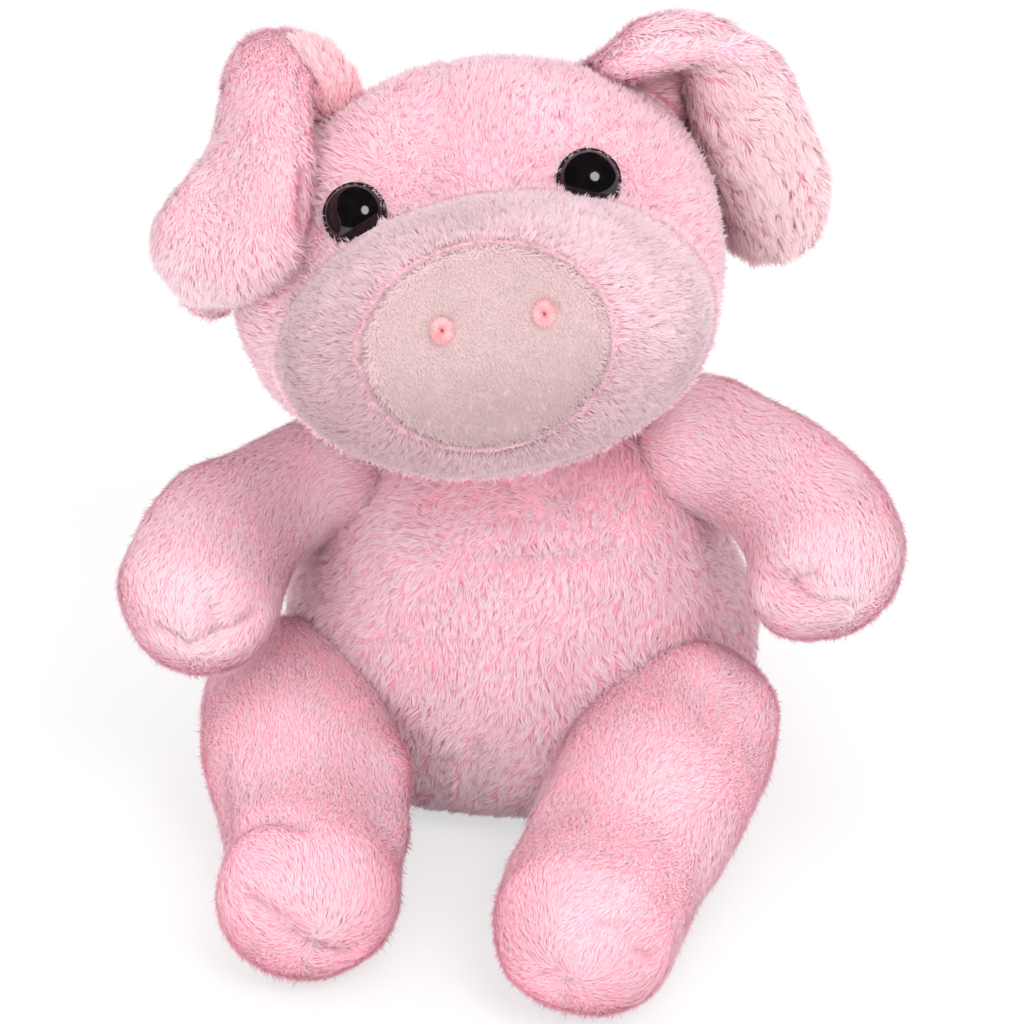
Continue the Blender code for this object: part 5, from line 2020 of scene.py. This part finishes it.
PAW_FOLDS = {
    Side.LEFT: (
        swelling(((-38, 4, 80), (-50, 2, 77), (-56, 0, 76)), 12.0, 2.8),
        swelling(((-64, -12, 74), (-72, -26, 70), (-76, -31, 64)), 9.0, -1.6),
        Fold(((-67, -44, 57), (-60, -46, 54), (-54, -46, 56), (-47, -40, 58)), width=2.0, depth=2.0, fan=0.5),
        Fold(((-55, -44, 63), (-54, -46, 57)), width=1.6, depth=1.2, fan=0.4),
    ),
    Side.RIGHT: (
        swelling(((48, -36, 58), (51, -39, 54)), 6.5, -2.6),
        swelling(((78, -32, 60), (74, -36, 52)), 8.0, 1.6),
        swelling(((38, 4, 86), (43, 4, 86)), 6.0, -1.4),
        swelling(((56, 0, 80), (68, -8, 76)), 9.0, 0.9),
        Fold(((50, -40, 65), (52, -42, 67), (57, -44, 70)), width=2.0, depth=1.8, fan=0.6),
        Fold(((52, -42, 66), (55, -45, 63), (64, -46, 64)), width=2.0, depth=1.6, fan=0.5),
    ),
}
FOOT_FOLDS = {
    Side.LEFT: (
        Fold(((-56, -66, 24), (-52, -69, 29), (-46, -71, 34), (-38, -76, 37)), width=2.4, depth=1.6),
        swelling(((-60, -48, 22), (-59, -64, 20)), 9.0, 2.6),
        swelling(((-21, -46, 26), (-21, -58, 22)), 8.0, -3.8),
        Fold(((-49, -83, 30), (-40, -85, 32), (-33, -85, 32), (-27, -85, 27)),
             width=2.0, depth=0.8, tone=0.3, fan=0.5),
        Fold(((-49, -86, 25), (-45, -88, 23), (-39, -90, 17), (-35, -89, 14), (-28, -86, 11)),
             width=2.2, depth=2.0, fan=0.4),
    ),
    Side.RIGHT: (
        swelling(((42, -22, 40), (50, -28, 32)), 10.0, -4.0),
        swelling(((4, -60, 24), (2, -70, 22)), 8.0, -2.2),
        swelling(((0, -95, 12), (3, -99, 9)), 7.0, -2.2),
        # Painted highlight: a paler line along the seam ridge.
        Fold(((46, -38, 35), (40, -56, 34), (30, -77, 32), (22, -95, 32), (17, -98, 28)),
             width=1.2, depth=-0.4, parting=0.0, tone=0.4),
        Fold(((17, -98, 28), (8, -98, 17), (6, -97, 14), (11, -99, 14)),
             width=1.9, depth=1.4, tone=0.1, fan=0.6),
        Fold(((19, -98, 29), (28, -98, 20)), width=1.8, depth=1.3, fan=0.4),
    ),
}
KEPT_NODES = {
    "neck_thread": "thread",
    "eye_washer_left": "washer_plastic",
    "eye_washer_right": "washer_plastic",
}


def dress_kept_nodes(palette: Palette) -> None:
    """Gives the CAD nodes that stay their finishes.

    Args:
        palette: The finishes.
    """
    for node, finish in KEPT_NODES.items():
        palette.dress(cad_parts[node], finish)
        LOG.info("%s keeps its CAD shape", node)


def build_pig(shop: Workshop) -> None:
    """Builds every piece of the pig.

    Args:
        shop: Where the pieces are finished.
    """
    Trunk(shop).build()
    head = Head(shop)
    head.build()
    for side in Side:
        Eye(shop, head, side, *EYE_PLACES[side]).build()
        Nostril(shop, head, side).build()
        Arm(shop, side, PAW_FOLDS[side]).build()
    # The left ear's rolled edge and the outer pile beside it have deeper tones: partly their own pinker
    # colour, partly painted shade.
    Ear(
        shop, head, Side.LEFT, (62, 36), EAR_SHARES[Side.LEFT], puffs=EAR_PUFFS[Side.LEFT],
        thickness=2.2 * MM, edge_tone=0.55, outer_tone=0.98, outer_shade=0.35,
    ).build()
    Ear(
        shop, head, Side.RIGHT, (58, 28), EAR_SHARES[Side.RIGHT], puffs=EAR_PUFFS[Side.RIGHT],
        roll=3.1 * MM, edge_tone=0.85, edge_fat=(0.9, 1.0, 1.0, 0.7, 0.42, 0.35),
    ).build()
    Leg(shop, Side.LEFT, FOOT_FOLDS[Side.LEFT], toe_in=14.0).build()
    Leg(shop, Side.RIGHT, FOOT_FOLDS[Side.RIGHT], toe_in=8.0).build()
    Tail(shop).build()


def main() -> None:
    """Builds the set and the pig."""
    logging.basicConfig(level=logging.INFO, format="%(name)s %(message)s")
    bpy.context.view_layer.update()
    bpy.context.scene.view_settings.view_transform = "Standard"
    Studio().build()
    palette = Palette()
    palette.build()
    dress_kept_nodes(palette)
    build_pig(Workshop(palette))


if __name__ == "__main__":
    main()
